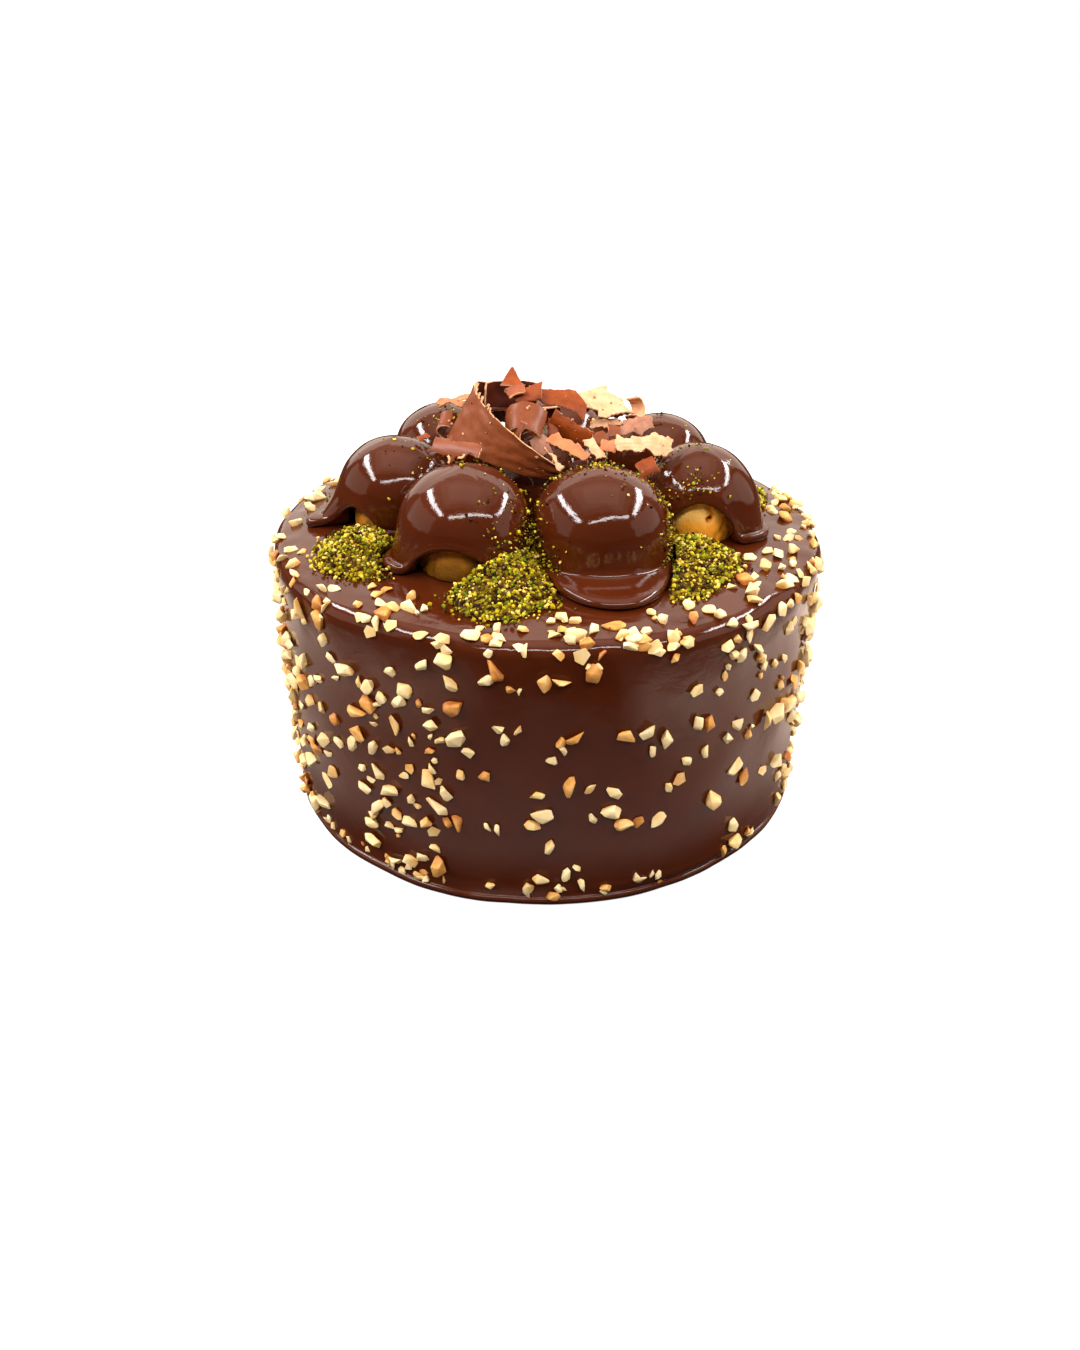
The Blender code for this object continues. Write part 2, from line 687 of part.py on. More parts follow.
def build_nut(spot, collection):
    """An angular chip of hazelnut, longer than it is wide, partly set in the glaze."""
    rng = random.Random(f"{spot.spin:.6f}")
    bm = bmesh.new()
    bmesh.ops.create_icosphere(bm, subdivisions=1, radius=0.5)
    for vertex in bm.verts:
        vertex.co *= rng.uniform(0.82, 1.12)
    thickness = rng.uniform(0.50, 0.72)
    bmesh.ops.scale(bm, vec=(1.0, rng.uniform(0.6, 0.85), thickness), verts=bm.verts)
    nut = add_object("nut", mesh_of(bm, "nut"), "chocolate", collection)
    lie = Matrix.Rotation(math.radians(spot.spin), 4, "Z")
    stand = spot.normal.to_track_quat("Z", "Y").to_matrix().to_4x4()
    lift = spot.normal * spot.size * thickness * (0.5 - NUT_SINK)
    nut.matrix_world = Matrix.Translation(spot.point + lift) @ stand @ lie @ Matrix.Scale(spot.size, 4)
    return nut


# --- Curls ---


def direction(azimuth, elevation):
    """The unit vector of an azimuth and an elevation, in degrees."""
    level = math.cos(math.radians(elevation))
    return at_azimuth(azimuth, level, math.sin(math.radians(elevation)))


def curl_point(curl, along, across):
    """A point of the curl's strip; along it and across it each run from -0.5 to 0.5."""
    axis = direction(*curl.axis)
    facing = direction(*curl.facing)
    facing = (facing - axis * facing.dot(axis)).normalized()
    side = axis.cross(facing)
    angle = math.radians(curl.wrap * along)
    radius = curl.radius * (1 + curl.flare * across) * (1 + curl.coil * along)
    width = curl.width * (1 - curl.taper * (along + 0.5))
    return (
        Vector(curl.place)
        + facing * (radius * math.cos(angle) - curl.radius)
        + side * (radius * math.sin(angle))
        + axis * (width * across + curl.skew * along)
    )


def build_curl(curl, collection):
    """A strip of chocolate rolled about its axis."""
    steps = max(3, round(curl.wrap / CURL_DEGREES_PER_STEP))
    bm = bmesh.new()
    bmesh.ops.create_grid(bm, x_segments=steps, y_segments=CURL_WIDTH_STEPS, size=0.5)
    for vertex in bm.verts:
        vertex.co = curl_point(curl, vertex.co.x, vertex.co.y)
    made = add_object(f"curl_{curl.name}", mesh_of(bm, "curl"), "curl", collection)
    solid = made.modifiers.new("thickness", "SOLIDIFY")
    solid.thickness = CURL_THICKNESS
    solid.offset = 0
    return made


def main():
    for old in list(bpy.data.objects):
        bpy.data.objects.remove(old)
    parts = bpy.data.collections.new("profiterole_cake")
    bpy.context.scene.collection.children.link(parts)
    build_cake(parts)
    for puff in PUFFS:
        build_coat(puff, parts)
        if puff.window is not None:
            build_bun(puff, parts)
    for heap in HEAPS:
        build_heap(heap, parts)
    for curl in CURLS:
        build_curl(curl, parts)


main()
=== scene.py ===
"""A profiterole cake on a pale table: poured chocolate over the cake and its cream puffs, chopped
hazelnuts, ground pistachio and chocolate curls."""

import math
import random
from collections import namedtuple

import bmesh
import bpy
import numpy as np
from mathutils import Matrix, Vector, noise


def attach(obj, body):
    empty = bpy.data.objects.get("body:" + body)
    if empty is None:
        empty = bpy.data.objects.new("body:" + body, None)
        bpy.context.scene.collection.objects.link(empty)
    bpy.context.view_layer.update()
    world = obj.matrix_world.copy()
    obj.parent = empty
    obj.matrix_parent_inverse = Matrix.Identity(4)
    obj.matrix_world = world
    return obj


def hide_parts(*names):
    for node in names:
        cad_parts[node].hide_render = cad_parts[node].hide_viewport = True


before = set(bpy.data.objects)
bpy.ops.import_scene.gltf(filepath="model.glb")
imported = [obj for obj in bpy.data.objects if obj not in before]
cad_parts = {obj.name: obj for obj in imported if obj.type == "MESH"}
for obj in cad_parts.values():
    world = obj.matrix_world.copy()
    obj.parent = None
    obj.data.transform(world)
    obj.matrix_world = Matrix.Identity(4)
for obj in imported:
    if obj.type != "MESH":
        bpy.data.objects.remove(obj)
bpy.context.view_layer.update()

# --- Sizes, in metres, as the solids have them ---

CAKE_RADIUS = 0.090
CAKE_HEIGHT = 0.090
RIM_RADIUS = 0.0045
TOP_FLAT_RADIUS = 0.078
TOP_FALL = 0.0010
FOOT_HEIGHT = 0.0024
FOOT_REACH = 0.0022
SIDE_WAVE = 0.0004
# How far the glaze's slow lumps and its finer ripples stand out, on the side and on the top
SIDE_LUMP, SIDE_RIPPLE = 0.00060, 0.00016
TOP_LUMP, TOP_RIPPLE = 0.00045, 0.0002

COAT_THICKNESS = 0.0019
POOL_THICKNESS = 0.0030
FOOT_SHARE = 0.95
WAIST_SHARE = 0.44
SPLINE_FULLNESS = 1.045
GAP = 0.0003
BUN_GAP = 0.0013
BUN_SWELL = 0.0022
LIP_SWELL = 0.0005
# How lumpy a coat and a bun are, as shares of the distance from the middle of the puff's foot
COAT_LUMP = 0.016
BUN_LUMP, BUN_GRAIN, BUN_CRACK, BUN_SHRINK = 0.020, 0.006, 0.040, 0.01

HEAP_CLEARANCE = 0.0008
HEAP_EDGE = 0.0002
CORE_DEPTH = 0.0006
HEAP_LEAN = 0.45
HEAP_SPILL = 1.22  # how far its loose grains lie, as a share of its reach
GRAIN_AREA = 0.29e-6 / 1.14
GRAIN_SMALLEST, GRAIN_SPREAD = 0.00060, 0.00115
GRAIN_RISE = (-0.0012, 0.0009)  # how far over the heap's surface a loose grain lies
SPRINKLED_SIZE, STRAY_SIZE = 0.72, 0.8  # as shares of the size of a heap's grain
STRAY_DRAWS, STRAY_SPREAD = 420, 0.012
HEAP_SEED, SPRINKLE_SEED, CRUMB_SEED = 21, 5, 11

NUT_SEED = 7
NUT_SHAPES = 40
RIM_NUT_DRAWS = 330
RIM_LOOKUP_RADIUS = 0.084
CHIP_REACH = 0.56  # the farthest corner of a chip that is 1 long
CLUMPED_SHARE = 0.34
# Nuts gathered round the foot: (azimuth, spread, count)
FOOT_NUTS = (
    (-150, 8, 7), (-131, 6, 9), (-116, 5, 8), (-97, 6, 4), (-80, 3, 2), (-66, 3, 3), (-45, 5, 4),
    (-22, 6, 6), (15, 12, 5), (62, 12, 7), (110, 14, 7), (160, 10, 6),
)
NUT_TOTAL = 560
NUT_LARGEST = 0.0084
NUT_SMALLEST = 0.0039
NUT_SIZE_FALL = 1.5
NUT_SINK = 0.26
NUT_SPACING = 0.74
NUT_CLEARANCE = 0.62
NUT_TOP_WIDTH = 0.022
NUT_TOP_SHARE = 0.24

CURL_THICKNESS = 0.0007
CURL_CELL = 0.00036
CURL_CRUMBS, PUFF_CRUMBS = 90, 7
CRUMBED_PUFFS = "front_left", "front_right", "left", "back_left", "back_right", "right", "back", "centre"
# The breaks of a torn edge, large to small: (length along it in metres, how far out, as a share)
BREAKS = ((0.0034, 1.15), (0.0013, 0.42), (0.0005, 0.20))
# The thin teeth on the edge of the largest curl, by the share along it
TOOTHED_CURL = "petal"
TEETH_FROM, TEETH_TO, TOOTH_STEP, TOOTH_LENGTH = -0.17, 0.09, 0.028, 0.0031

# A puff's tongues: (azimuth, length, spread, start); its window: (azimuth, half width, height); its
# folds: (azimuth, spread, middle, width, size)
Puff = namedtuple("Puff", "name x y radius height tongues window folds", defaults=((),))
PUFFS = (
    Puff(
        "front_right", 0.016, -0.036, 0.0198, 0.0293,
        ((-82, 0.0155, 40, 0.006), (-10, 0.0016, 34, 0.014)), None, ((-10, 40, 0.006, 0.008, 0.0006),),
    ),
    Puff(
        "front_left", -0.0248, -0.036, 0.0193, 0.0296,
        ((-163, 0.0058, 28, 0.015),), (-100, 40, 0.0104), ((-48, 26, 0.01, 0.007, 0.0012),),
    ),
    Puff(
        "left", -0.049, -0.004, 0.018, 0.0277,
        ((-166, 0.0118, 24, 0.015),), (-130, 28, 0.0088),
    ),
    Puff(
        "back_left", -0.036, 0.035, 0.0175, 0.0275,
        ((178, 0.008, 26, 0.014),), (118, 36, 0.011),
    ),
    Puff(
        "back", 0.004, 0.047, 0.0175, 0.0275,
        ((138, 0.007, 24, 0.016), (36, 0.005, 24, 0.011)), (84, 32, 0.01),
    ),
    Puff(
        "back_right", 0.0395, 0.026, 0.017, 0.027,
        ((32, 0.01, 36, 0.008),), None,
    ),
    Puff(
        "right", 0.0482, -0.0095, 0.0174, 0.028,
        ((-19, 0.0066, 28, 0.026),), (-92, 40, 0.0142), ((-70, 40, 0.0165, 0.004, 0.0009),),
    ),
    Puff(
        "centre", -0.001, 0.001, 0.018, 0.03,
        (), None,
    ),
)

Heap = namedtuple("Heap", "name x y length width turn height")
HEAPS = (
    Heap("front", -0.0125, -0.0560, 0.048, 0.028, 86, 0.0078),
    Heap("front_left", -0.0572, -0.0340, 0.040, 0.026, 108, 0.0050),
    Heap("front_right", 0.0445, -0.0415, 0.042, 0.024, 72, 0.0064),
    Heap("side_right", 0.0670, 0.0170, 0.024, 0.018, 60, 0.0048),
    Heap("back_right", 0.0300, 0.0560, 0.032, 0.022, 150, 0.0054),
    Heap("back_left", -0.0220, 0.0620, 0.032, 0.026, 15, 0.0058),
    Heap("side_left", -0.0600, 0.0200, 0.022, 0.018, 90, 0.0046),
)

# Where the nuts lie thick on the side: (azimuth, height, spread, width, pieces to a square cm)
SIDE_PATCHES = (
    (-165, 0.050, 12, 0.040, 6.0), (-151, 0.015, 5, 0.010, 6.0), (-148, 0.081, 6, 0.005, 6.0),
    (-146, 0.057, 5, 0.007, 8.0), (-142, 0.026, 4, 0.019, 6.0), (-132, 0.082, 5, 0.005, 5.0),
    (-123, 0.033, 11, 0.026, 5.0), (-115, 0.061, 15, 0.007, 5.5), (-93, 0.022, 18, 0.014, 1.7),
    (-88, 0.080, 22, 0.006, 4.5), (-59, 0.057, 18, 0.013, 2.8), (-48, 0.079, 11, 0.007, 5.0),
    (-30, 0.040, 5, 0.012, 6.0), (-24, 0.066, 5, 0.010, 6.0), (-12, 0.050, 12, 0.040, 6.5),
    (28, 0.040, 24, 0.028, 2.5), (62, 0.014, 20, 0.010, 3.0), (78, 0.062, 22, 0.016, 2.8),
    (112, 0.028, 22, 0.018, 3.0), (150, 0.056, 20, 0.024, 3.0),
)
# The same on the top, with a radius for the height
TOP_PATCHES = (
    (-165, 0.084, 12, 0.004, 3.0), (-130, 0.082, 16, 0.006, 4.5), (-104, 0.085, 10, 0.004, 4.0),
    (-78, 0.085, 15, 0.005, 8.0), (-62, 0.074, 8, 0.006, 5.0), (-38, 0.078, 14, 0.008, 3.5),
    (-14, 0.080, 12, 0.007, 4.0), (7, 0.081, 8, 0.006, 7.0), (80, 0.083, 34, 0.006, 2.5),
    (125, 0.082, 20, 0.006, 3.0), (166, 0.081, 12, 0.006, 4.0),
)
# How pale each bun is, from 0 to 1: partly how it is baked and partly painted shade and light, lowest
# for the buns deep in the shade under their coats' lips and highest for the one in the light
BUN_PALENESS_AND_SHADE = {"front_left": 0.14, "left": 0.28, "back_left": 0.42, "back": 0.34, "right": 0.60}
# A bun that split as it baked: (azimuth, level) along the split, and the hole at its end
SPLIT_BUN = "right"
SPLIT = ((-88, 0.0185), (-86, 0.0152), (-82, 0.0124), (-76, 0.0098), (-80, 0.0086))
SPLIT_WIDTH, SPLIT_DEPTH = 0.0007, 0.0012
HOLE_RADIUS, HOLE_DEPTH = 0.0012, 0.0022
SPARSEST, DENSEST = 0.35, 9.0  # nuts to a square centimetre

# A curl turns by wrap degrees about its axis, and its middle faces that way
Curl = namedtuple(
    "Curl",
    "name place axis facing radius width wrap flare coil skew taper",
    defaults=(0.0, 0.0, 0.0, 0.0),
)
CURL_ROWS = (
    ("petal", (-0.0225, -0.0157, 0.1243), (7, 57), (-148, 8), 0.0214, 0.0271, 191, 0.07, -0.34,
     0.006, 0.84),
    ("front_strip", (-0.0276, -0.0258, 0.1216), (-30, 2), (-115, 45), 0.0045, 0.018, 85),
    ("inner_roll", (-0.0072, -0.0136, 0.1283), (82, 25), (-95, 62), 0.0065, 0.0108, 132, 0.2),
    ("half_tube", (0.0036, -0.0016, 0.1302), (37, -19), (-85, 14), 0.0133, 0.013, 31, 0.86, 0.45),
    ("pale_sheet", (0.0182, 0.0022, 0.1284), (-60, -15), (-70, 65), 0.02, 0.017, 42),
    ("loop", (0.0298, 0.0064, 0.1238), (-30, 20), (0, 0), 0.0032, 0.005, 250),
    ("spike", (-0.0115, 0.007, 0.1346), (90, 80), (-90, 10), 0.004, 0.0052, 60, -1.7),
    ("leaf", (-0.01, -0.003, 0.1332), (100, 10), (-100, 50), 0.007, 0.0075, 60),
    ("mid_flake", (0.0061, -0.0262, 0.1225), (-31, -21), (-78, 60), 0.0096, 0.0134, 36),
    ("sliver", (0.0019, -0.0288, 0.1196), (-48, -29), (-110, 40), 0.0038, 0.0092, 36),
    ("stack_strip", (0.0186, -0.003, 0.1225), (3, 3), (-90, 50), 0.0057, 0.0105, 34),
    ("low_flake", (-0.002, -0.017, 0.1197), (-50, -37), (-90, 45), 0.0083, 0.0079, 40),
    ("side_flake", (0.0143, -0.018, 0.1192), (-50, -38), (-70, 50), 0.0098, 0.0085, 35),
    ("right_sheet", (0.03, -0.0172, 0.1208), (7, 0), (-90, 54), 0.0199, 0.0186, 27),
    ("right_flake", (0.029, -0.006, 0.123), (10, 5), (-90, 50), 0.01, 0.01, 45),
    ("left_strip", (-0.032, 0.014, 0.1245), (-30, 3), (-90, 60), 0.006, 0.011, 40),
    ("left_roll", (-0.035, 0.004, 0.121), (80, 30), (-150, 10), 0.003, 0.007, 200),
    ("shard", (-0.0084, -0.0208, 0.1252), (16, 63), (-120, 20), 0.0059, 0.0063, 30),
    ("band", (0.007, -0.0085, 0.122), (-20, -22), (-90, -10), 0.007, 0.015, 70),
    ("shadow_sheet", (0.0098, -0.0162, 0.1128), (-15, 20), (-90, 20), 0.012, 0.007, 26),
    ("gap_flake", (0.02, -0.0008, 0.1188), (-20, -4), (-90, 45), 0.015, 0.0115, 36),
    ("back_petal", (-0.012, 0.009, 0.1285), (90, 80), (95, 10), 0.0095, 0.0085, 130),
    ("back_roll", (-0.013, 0.016, 0.124), (20, 10), (120, 45), 0.0045, 0.016, 190),
    ("back_sheet", (0.021, 0.017, 0.1215), (-30, 10), (60, 60), 0.016, 0.015, 45),
    ("back_flake", (-0.031, 0.029, 0.1212), (60, 5), (150, 75), 0.01, 0.01, 50),
    ("back_strip", (-0.002, 0.0265, 0.1172), (0, 5), (90, 30), 0.0055, 0.014, 95),
)
CURLS = tuple(Curl(*row) for row in CURL_ROWS)

# Small shavings in the gaps of the pile: a letter, a finish and the rest as for a curl
SHAVINGS = (
    ("a", "milk", (0.0166, -0.013, 0.1211), (20, 30), (-90, 40), 0.0045, 0.0042, 60),
    ("b", "peach", (0.0186, -0.0175, 0.1202), (-25, 10), (-90, 40), 0.006, 0.0052, 50),
    ("c", "milk", (0.0208, -0.01, 0.1224), (5, -12), (-90, 50), 0.005, 0.0048, 60),
    ("d", "amber", (0.0306, -0.0224, 0.115), (15, 20), (-90, 40), 0.004, 0.0062, 90),
    ("e", "milk", (-0.0285, -0.0305, 0.119), (70, -30), (-100, 30), 0.0014, 0.0044, 150),
    ("f", "milk", (-0.0255, -0.03, 0.1196), (95, -40), (-80, 30), 0.0012, 0.0036, 160),
    ("g", "amber", (0.0018, -0.007, 0.1228), (75, 55), (-95, 10), 0.006, 0.0062, 40),
    ("h", "dusty", (0.024, -0.008, 0.1222), (12, 14), (-85, 60), 0.006, 0.006, 40),
    ("i", "peach", (0.0285, -0.012, 0.1196), (-18, 6), (-90, 50), 0.006, 0.006, 46),
    ("j", "dusty", (0.008, -0.0255, 0.1214), (28, 12), (-90, 55), 0.005, 0.0046, 50),
    ("k", "amber", (-0.0395, -0.005, 0.1182), (30, 10), (-110, 50), 0.003, 0.004, 60),
    ("n", "amber", (-0.0062, -0.004, 0.1322), (8, 12), (-92, 42), 0.0052, 0.0118, 75, 0.25, 0, 0, 0.35),
    ("l", "milk", (0.005, 0.013, 0.1262), (-30, 20), (80, 50), 0.005, 0.006, 70),
    ("m", "peach", (0.012, 0.024, 0.12), (20, -10), (90, 40), 0.005, 0.006, 50),
)
SHAVING_TEAR = (60, 30, 5)

# How a curl looks: the finish of its outer and its inner side, how far its ends and its sides are
# torn and how crinkled it is, the last three in hundredths of a millimetre
# The dark finish is painted shade: the curls' milk chocolate painted darker on their inner sides and on
# the shadow sheet.
CURL_LOOKS = {
    "petal": ("milk", "dark", 56, 29, 4),
    "front_strip": ("milk", "dark", 129, 33, 4),
    "inner_roll": ("milk", "dark", 50, 25, 3),
    "half_tube": ("amber", "dark", 104, 53, 5),
    "pale_sheet": ("pale", "pale", 170, 84, 17),
    "loop": ("peach", "pale", 50, 25, 5),
    "spike": ("amber", "milk", 25, 17, 5),
    "leaf": ("amber", "milk", 81, 44, 5),
    "mid_flake": ("peach", "pale", 111, 57, 6),
    "sliver": ("pale", "peach", 78, 41, 6),
    "stack_strip": ("pale", "peach", 84, 44, 6),
    "low_flake": ("dusty", "milk", 87, 48, 7),
    "side_flake": ("pale", "peach", 102, 57, 7),
    "right_sheet": ("pale", "milk", 149, 60, 15),
    "right_flake": ("dusty", "peach", 122, 59, 13),
    "left_strip": ("peach", "milk", 96, 44, 7),
    "left_roll": ("milk", "dark", 37, 25, 5),
    "shard": ("milk", "peach", 74, 34, 5),
    "band": ("amber", "dark", 87, 48, 5),
    "shadow_sheet": ("dark", "dark", 62, 34, 5),
    "gap_flake": ("milk", "dark", 104, 59, 7),
    "back_petal": ("milk", "dark", 56, 34, 4),
    "back_roll": ("milk", "dark", 62, 34, 5),
    "back_sheet": ("pale", "peach", 134, 71, 15),
    "back_flake": ("peach", "milk", 113, 55, 10),
    "back_strip": ("milk", "dark", 74, 34, 5),
}

# --- Shapes ---


def wrapped(degrees):
    """The same angle, from -180 to 180."""
    return (degrees + 180) % 360 - 180


def lobe(degrees, centre, spread):
    """1 at centre, falling smoothly to 0 past the spread."""
    return math.exp(-((wrapped(degrees - centre) / spread) ** 2))


def smooth(share):
    """0 to 1 with flat ends."""
    share = min(max(share, 0.0), 1.0)
    return share * share * (3 - 2 * share)


def spline_point(controls, share):
    """The point at share, from 0 to 1, of the cubic B-spline that starts and ends at the first
    and last control points."""
    padded = [controls[0]] * 2 + list(controls) + [controls[-1]] * 2
    spans = len(padded) - 3
    first = min(int(share * spans), spans - 1)
    u = share * spans - first
    weights = (
        (1 - u) ** 3 / 6,
        (3 * u**3 - 6 * u**2 + 4) / 6,
        (-3 * u**3 + 3 * u**2 + 3 * u + 1) / 6,
        u**3 / 6,
    )
    near = padded[first : first + 4]
    return tuple(sum(w * p[axis] for w, p in zip(weights, near)) for axis in (0, 1))


def at_azimuth(azimuth, radius, height):
    """A point from its azimuth in degrees, radius and height."""
    angle = math.radians(azimuth)
    return Vector((radius * math.cos(angle), radius * math.sin(angle), height))


def direction(azimuth, elevation):
    """The unit vector of an azimuth and an elevation, in degrees."""
    level = math.cos(math.radians(elevation))
    return at_azimuth(azimuth, level, math.sin(math.radians(elevation)))


def wrapped_sphere(round_steps, steps, place):
    """A closed mesh made from a sphere: place(azimuth, share from top to bottom) says where each
    vertex goes."""
    bm = bmesh.new()
    bmesh.ops.create_uvsphere(bm, u_segments=round_steps, v_segments=steps, radius=1)
    for vertex in bm.verts:
        azimuth = math.degrees(math.atan2(vertex.co.y, vertex.co.x))
        share = math.acos(min(max(vertex.co.z, -1.0), 1.0)) / math.pi
        vertex.co = place(azimuth, share)
    return bm


def add_mesh_piece(name, mesh, finishes, slot, *nodes, smooth_faces=True):
    """Makes the mesh a piece that rides on the cake and stands for the nodes."""
    piece = bpy.data.objects.new(name, mesh)
    for finish in finishes:
        mesh.materials.append(finish)
    if smooth_faces:
        mesh.shade_smooth()
    bpy.context.scene.collection.objects.link(piece)
    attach(piece, "root")
    if nodes:
        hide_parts(*nodes)
    return piece


def add_piece(name, bm, finishes, slot, *nodes):
    """The same for a bmesh, with smooth faces."""
    mesh = bpy.data.meshes.new(name)
    bm.to_mesh(mesh)
    bm.free()
    return add_mesh_piece(name, mesh, finishes, slot, *nodes)


# --- Finishes ---


class Finish:
    """A material, or the studio's backdrop, as it is put together from nodes."""

    def __init__(self, owner, shader="Principled BSDF"):
        owner.use_nodes = True
        self.owner, self.tree = owner, owner.node_tree
        self.shader = self.tree.nodes[shader]

    def feed(self, socket, value):
        """Gives a socket a value, or links another node's output to it."""
        if isinstance(value, bpy.types.NodeSocket):
            self.tree.links.new(value, socket)
        else:
            socket.default_value = value

    def add(self, kind, output, inputs=None, **settings):
        """Adds a node with its settings and inputs, and gives one of its outputs."""
        made = self.tree.nodes.new("ShaderNode" + kind)
        for name, value in settings.items():
            setattr(made, name, value)
        for name, value in (inputs or {}).items():
            self.feed(made.inputs[name], value)
        return made.outputs[output]

    def place(self):
        return self.add("TexCoord", "Object")

    def attribute(self, name, output="Fac"):
        return self.add("Attribute", output, attribute_name=name)

    def noise(self, scale, detail=3.0, roughness=0.55, distortion=0.0, place=None):
        inputs = {"Scale": scale, "Detail": detail, "Roughness": roughness, "Distortion": distortion}
        inputs["Vector"] = self.place() if place is None else place
        return self.add("TexNoise", "Fac", inputs)

    def ramp(self, factor, *stops):
        """A colour ramp of (position, (r, g, b))."""
        made = self.tree.nodes.new("ShaderNodeValToRGB")
        elements = made.color_ramp.elements
        while len(elements) > 1:
            elements.remove(elements[-1])
        elements[0].position, elements[0].color = stops[0][0], (*stops[0][1], 1)
        for position, colour in stops[1:]:
            elements.new(position).color = (*colour, 1)
        self.feed(made.inputs["Fac"], factor)
        return made.outputs["Color"]

    def scaled(self, factor, low, high, from_low=0.0, from_high=1.0):
        """Maps a factor from one range to another."""
        inputs = {"From Min": from_low, "From Max": from_high, "To Min": low, "To Max": high}
        return self.add("MapRange", "Result", {"Value": factor, **inputs})

    def maths(self, operation, *values):
        return self.add("Math", "Value", dict(enumerate(values)), operation=operation)

    def mix(self, factor, first, second):
        """Mixes two colours by a factor."""
        return self.add("Mix", "Result", {"Factor": factor, "A": first, "B": second}, data_type="RGBA")

    def bump(self, height, distance, strength=1.0, base=None):
        inputs = {"Strength": strength, "Distance": distance, "Height": height}
        return self.add("Bump", "Normal", inputs if base is None else {**inputs, "Normal": base})

    def finished(self, inputs):
        """Feeds the shader's inputs and gives what it was made for."""
        for name, value in inputs.items():
            self.feed(self.shader.inputs[name], value)
        return self.owner


def start_finish(name):
    return Finish(bpy.data.materials.new(name))


def glaze_finish():
    """Dark poured chocolate: mirror-smooth, with a few fine ripples and pits."""
    glaze = start_finish("poured_chocolate")
    ripple = glaze.bump(glaze.noise(160, 2, distortion=0.6), 0.00025, 0.35)
    shades = (0.30, (0.062, 0.0102, 0.0020)), (0.70, (0.078, 0.0140, 0.0034))
    return glaze.finished(
        {
            "Base Color": glaze.ramp(glaze.noise(45, 4), *shades),
            "Roughness": glaze.scaled(glaze.noise(900, 3), 0.05, 0.13, 0.35, 0.7),
            "Normal": glaze.bump(glaze.noise(1500, 2), 0.00006, 0.30, ripple),
            "IOR": 1.45,
            "Specular IOR Level": 0.40,
        }
    )


def choux_finish():
    """Baked choux, by its paleness, which holds painted light and shade too: from olive brown through
    gold to cream, and blotchy.
    """
    choux = start_finish("baked_choux")
    cloud, fine = choux.noise(150, 5, 0.6), choux.noise(900, 4, 0.65)
    shade = choux.maths("MULTIPLY_ADD", cloud, 0.40, choux.attribute("pale"))
    shades = (
        (0.00, (0.020, 0.006, 0.001)),
        (0.20, (0.085, 0.030, 0.001)),
        (0.45, (0.200, 0.078, 0.004)),
        (0.72, (0.640, 0.225, 0.012)),
        (0.88, (1.000, 0.400, 0.035)),
        (1.00, (1.000, 0.540, 0.130)),
    )
    return choux.finished(
        {
            "Base Color": choux.ramp(shade, *shades),
            "Roughness": choux.scaled(fine, 0.42, 0.65),
            "Normal": choux.bump(fine, 0.0004, 0.7, choux.bump(cloud, 0.0012, 0.8)),
            "Specular IOR Level": 0.14,
            "Subsurface Weight": 0.06,
            "Subsurface Scale": 0.001,
            "Subsurface Radius": (1.0, 0.5, 0.2),
        }
    )


def hazelnut_finish():
    """Chopped hazelnut: from cream through toasted golden to orange brown, by its toast and by the
    painted shade on its underside.
    """
    nut = start_finish("chopped_hazelnut")
    toast = nut.maths("MULTIPLY_ADD", nut.noise(420, 3), 0.55, nut.attribute("toast"))
    shades = (
        (0.12, (0.97, 0.82, 0.52)),
        (0.42, (0.93, 0.64, 0.27)),
        (0.72, (0.80, 0.38, 0.08)),
        (1.00, (0.45, 0.14, 0.02)),
    )
    return nut.finished(
        {
            "Base Color": nut.ramp(toast, *shades),
            "Normal": nut.bump(nut.noise(2200, 3), 0.0001, 0.5),
            "Roughness": 0.55,
            "Subsurface Weight": 0.22,
            "Subsurface Scale": 0.0007,
            "Subsurface Radius": (1.0, 0.6, 0.3),
        }
    )


# Dark brown through olive and yellow green to tan, and last a fresh dark green
PISTACHIO_SHADES = (
    (0.10, (0.020, 0.008, 0.0005)),
    (0.26, (0.125, 0.056, 0.003)),
    (0.34, (0.180, 0.125, 0.002)),
    (0.54, (0.520, 0.375, 0.005)),
    (0.68, (0.880, 0.680, 0.060)),
    (0.80, (0.920, 0.620, 0.240)),
    (0.88, (0.280, 0.330, 0.010)),
    (1.00, (0.120, 0.190, 0.004)),
)


def pistachio_finish():
    """Ground pistachio: each grain its own shade."""
    grains = start_finish("ground_pistachio")
    shade = grains.maths("MULTIPLY_ADD", grains.noise(1600, 3), 0.25, grains.attribute("grain"))
    colour = grains.ramp(shade, *PISTACHIO_SHADES)
    return grains.finished({"Base Color": colour, "Roughness": 0.65, "Specular IOR Level": 0.12})


def packed_pistachio_finish():
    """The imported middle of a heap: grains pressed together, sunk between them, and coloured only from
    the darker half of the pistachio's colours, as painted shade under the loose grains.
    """
    heap = start_finish("packed_pistachio")
    cells = {"Scale": 900, "Vector": heap.place()}
    tint, off = (heap.add("TexVoronoi", output, cells) for output in ("Color", "Distance"))
    red = heap.add("SeparateColor", "Red", {"Color": tint})
    return heap.finished(
        {
            # Painted shade: only the dark half of the pistachio's colours.
            "Base Color": heap.ramp(heap.scaled(red, 0.0, 0.46), *PISTACHIO_SHADES),
            "Normal": heap.bump(heap.scaled(off, 1.0, 0.0, 0.0, 0.7), 0.0006, 0.9),
            "Roughness": 0.80,
            "Specular IOR Level": 0.15,
        }
    )


def curl_finish(name, first, second, roughness, grain):
    """Chocolate of a curl, mottled between two colours, with streaks along the strip."""
    curl = start_finish(f"curl_{name}")
    along = {"Scale": (1400, 260, 1), "Vector": curl.attribute("strip", "Vector")}
    strip = curl.add("Mapping", "Vector", along)
    streak = curl.bump(curl.noise(1.0, 3, place=strip), 0.00015, grain)
    return curl.finished(
        {
            "Base Color": curl.ramp(curl.noise(330, 4, 0.6), (0.34, first), (0.70, second)),
            "Normal": curl.bump(curl.noise(1300, 4, 0.65), 0.00008, grain, streak),
            "Roughness": roughness,
            "Specular IOR Level": 0.28,
        }
    )


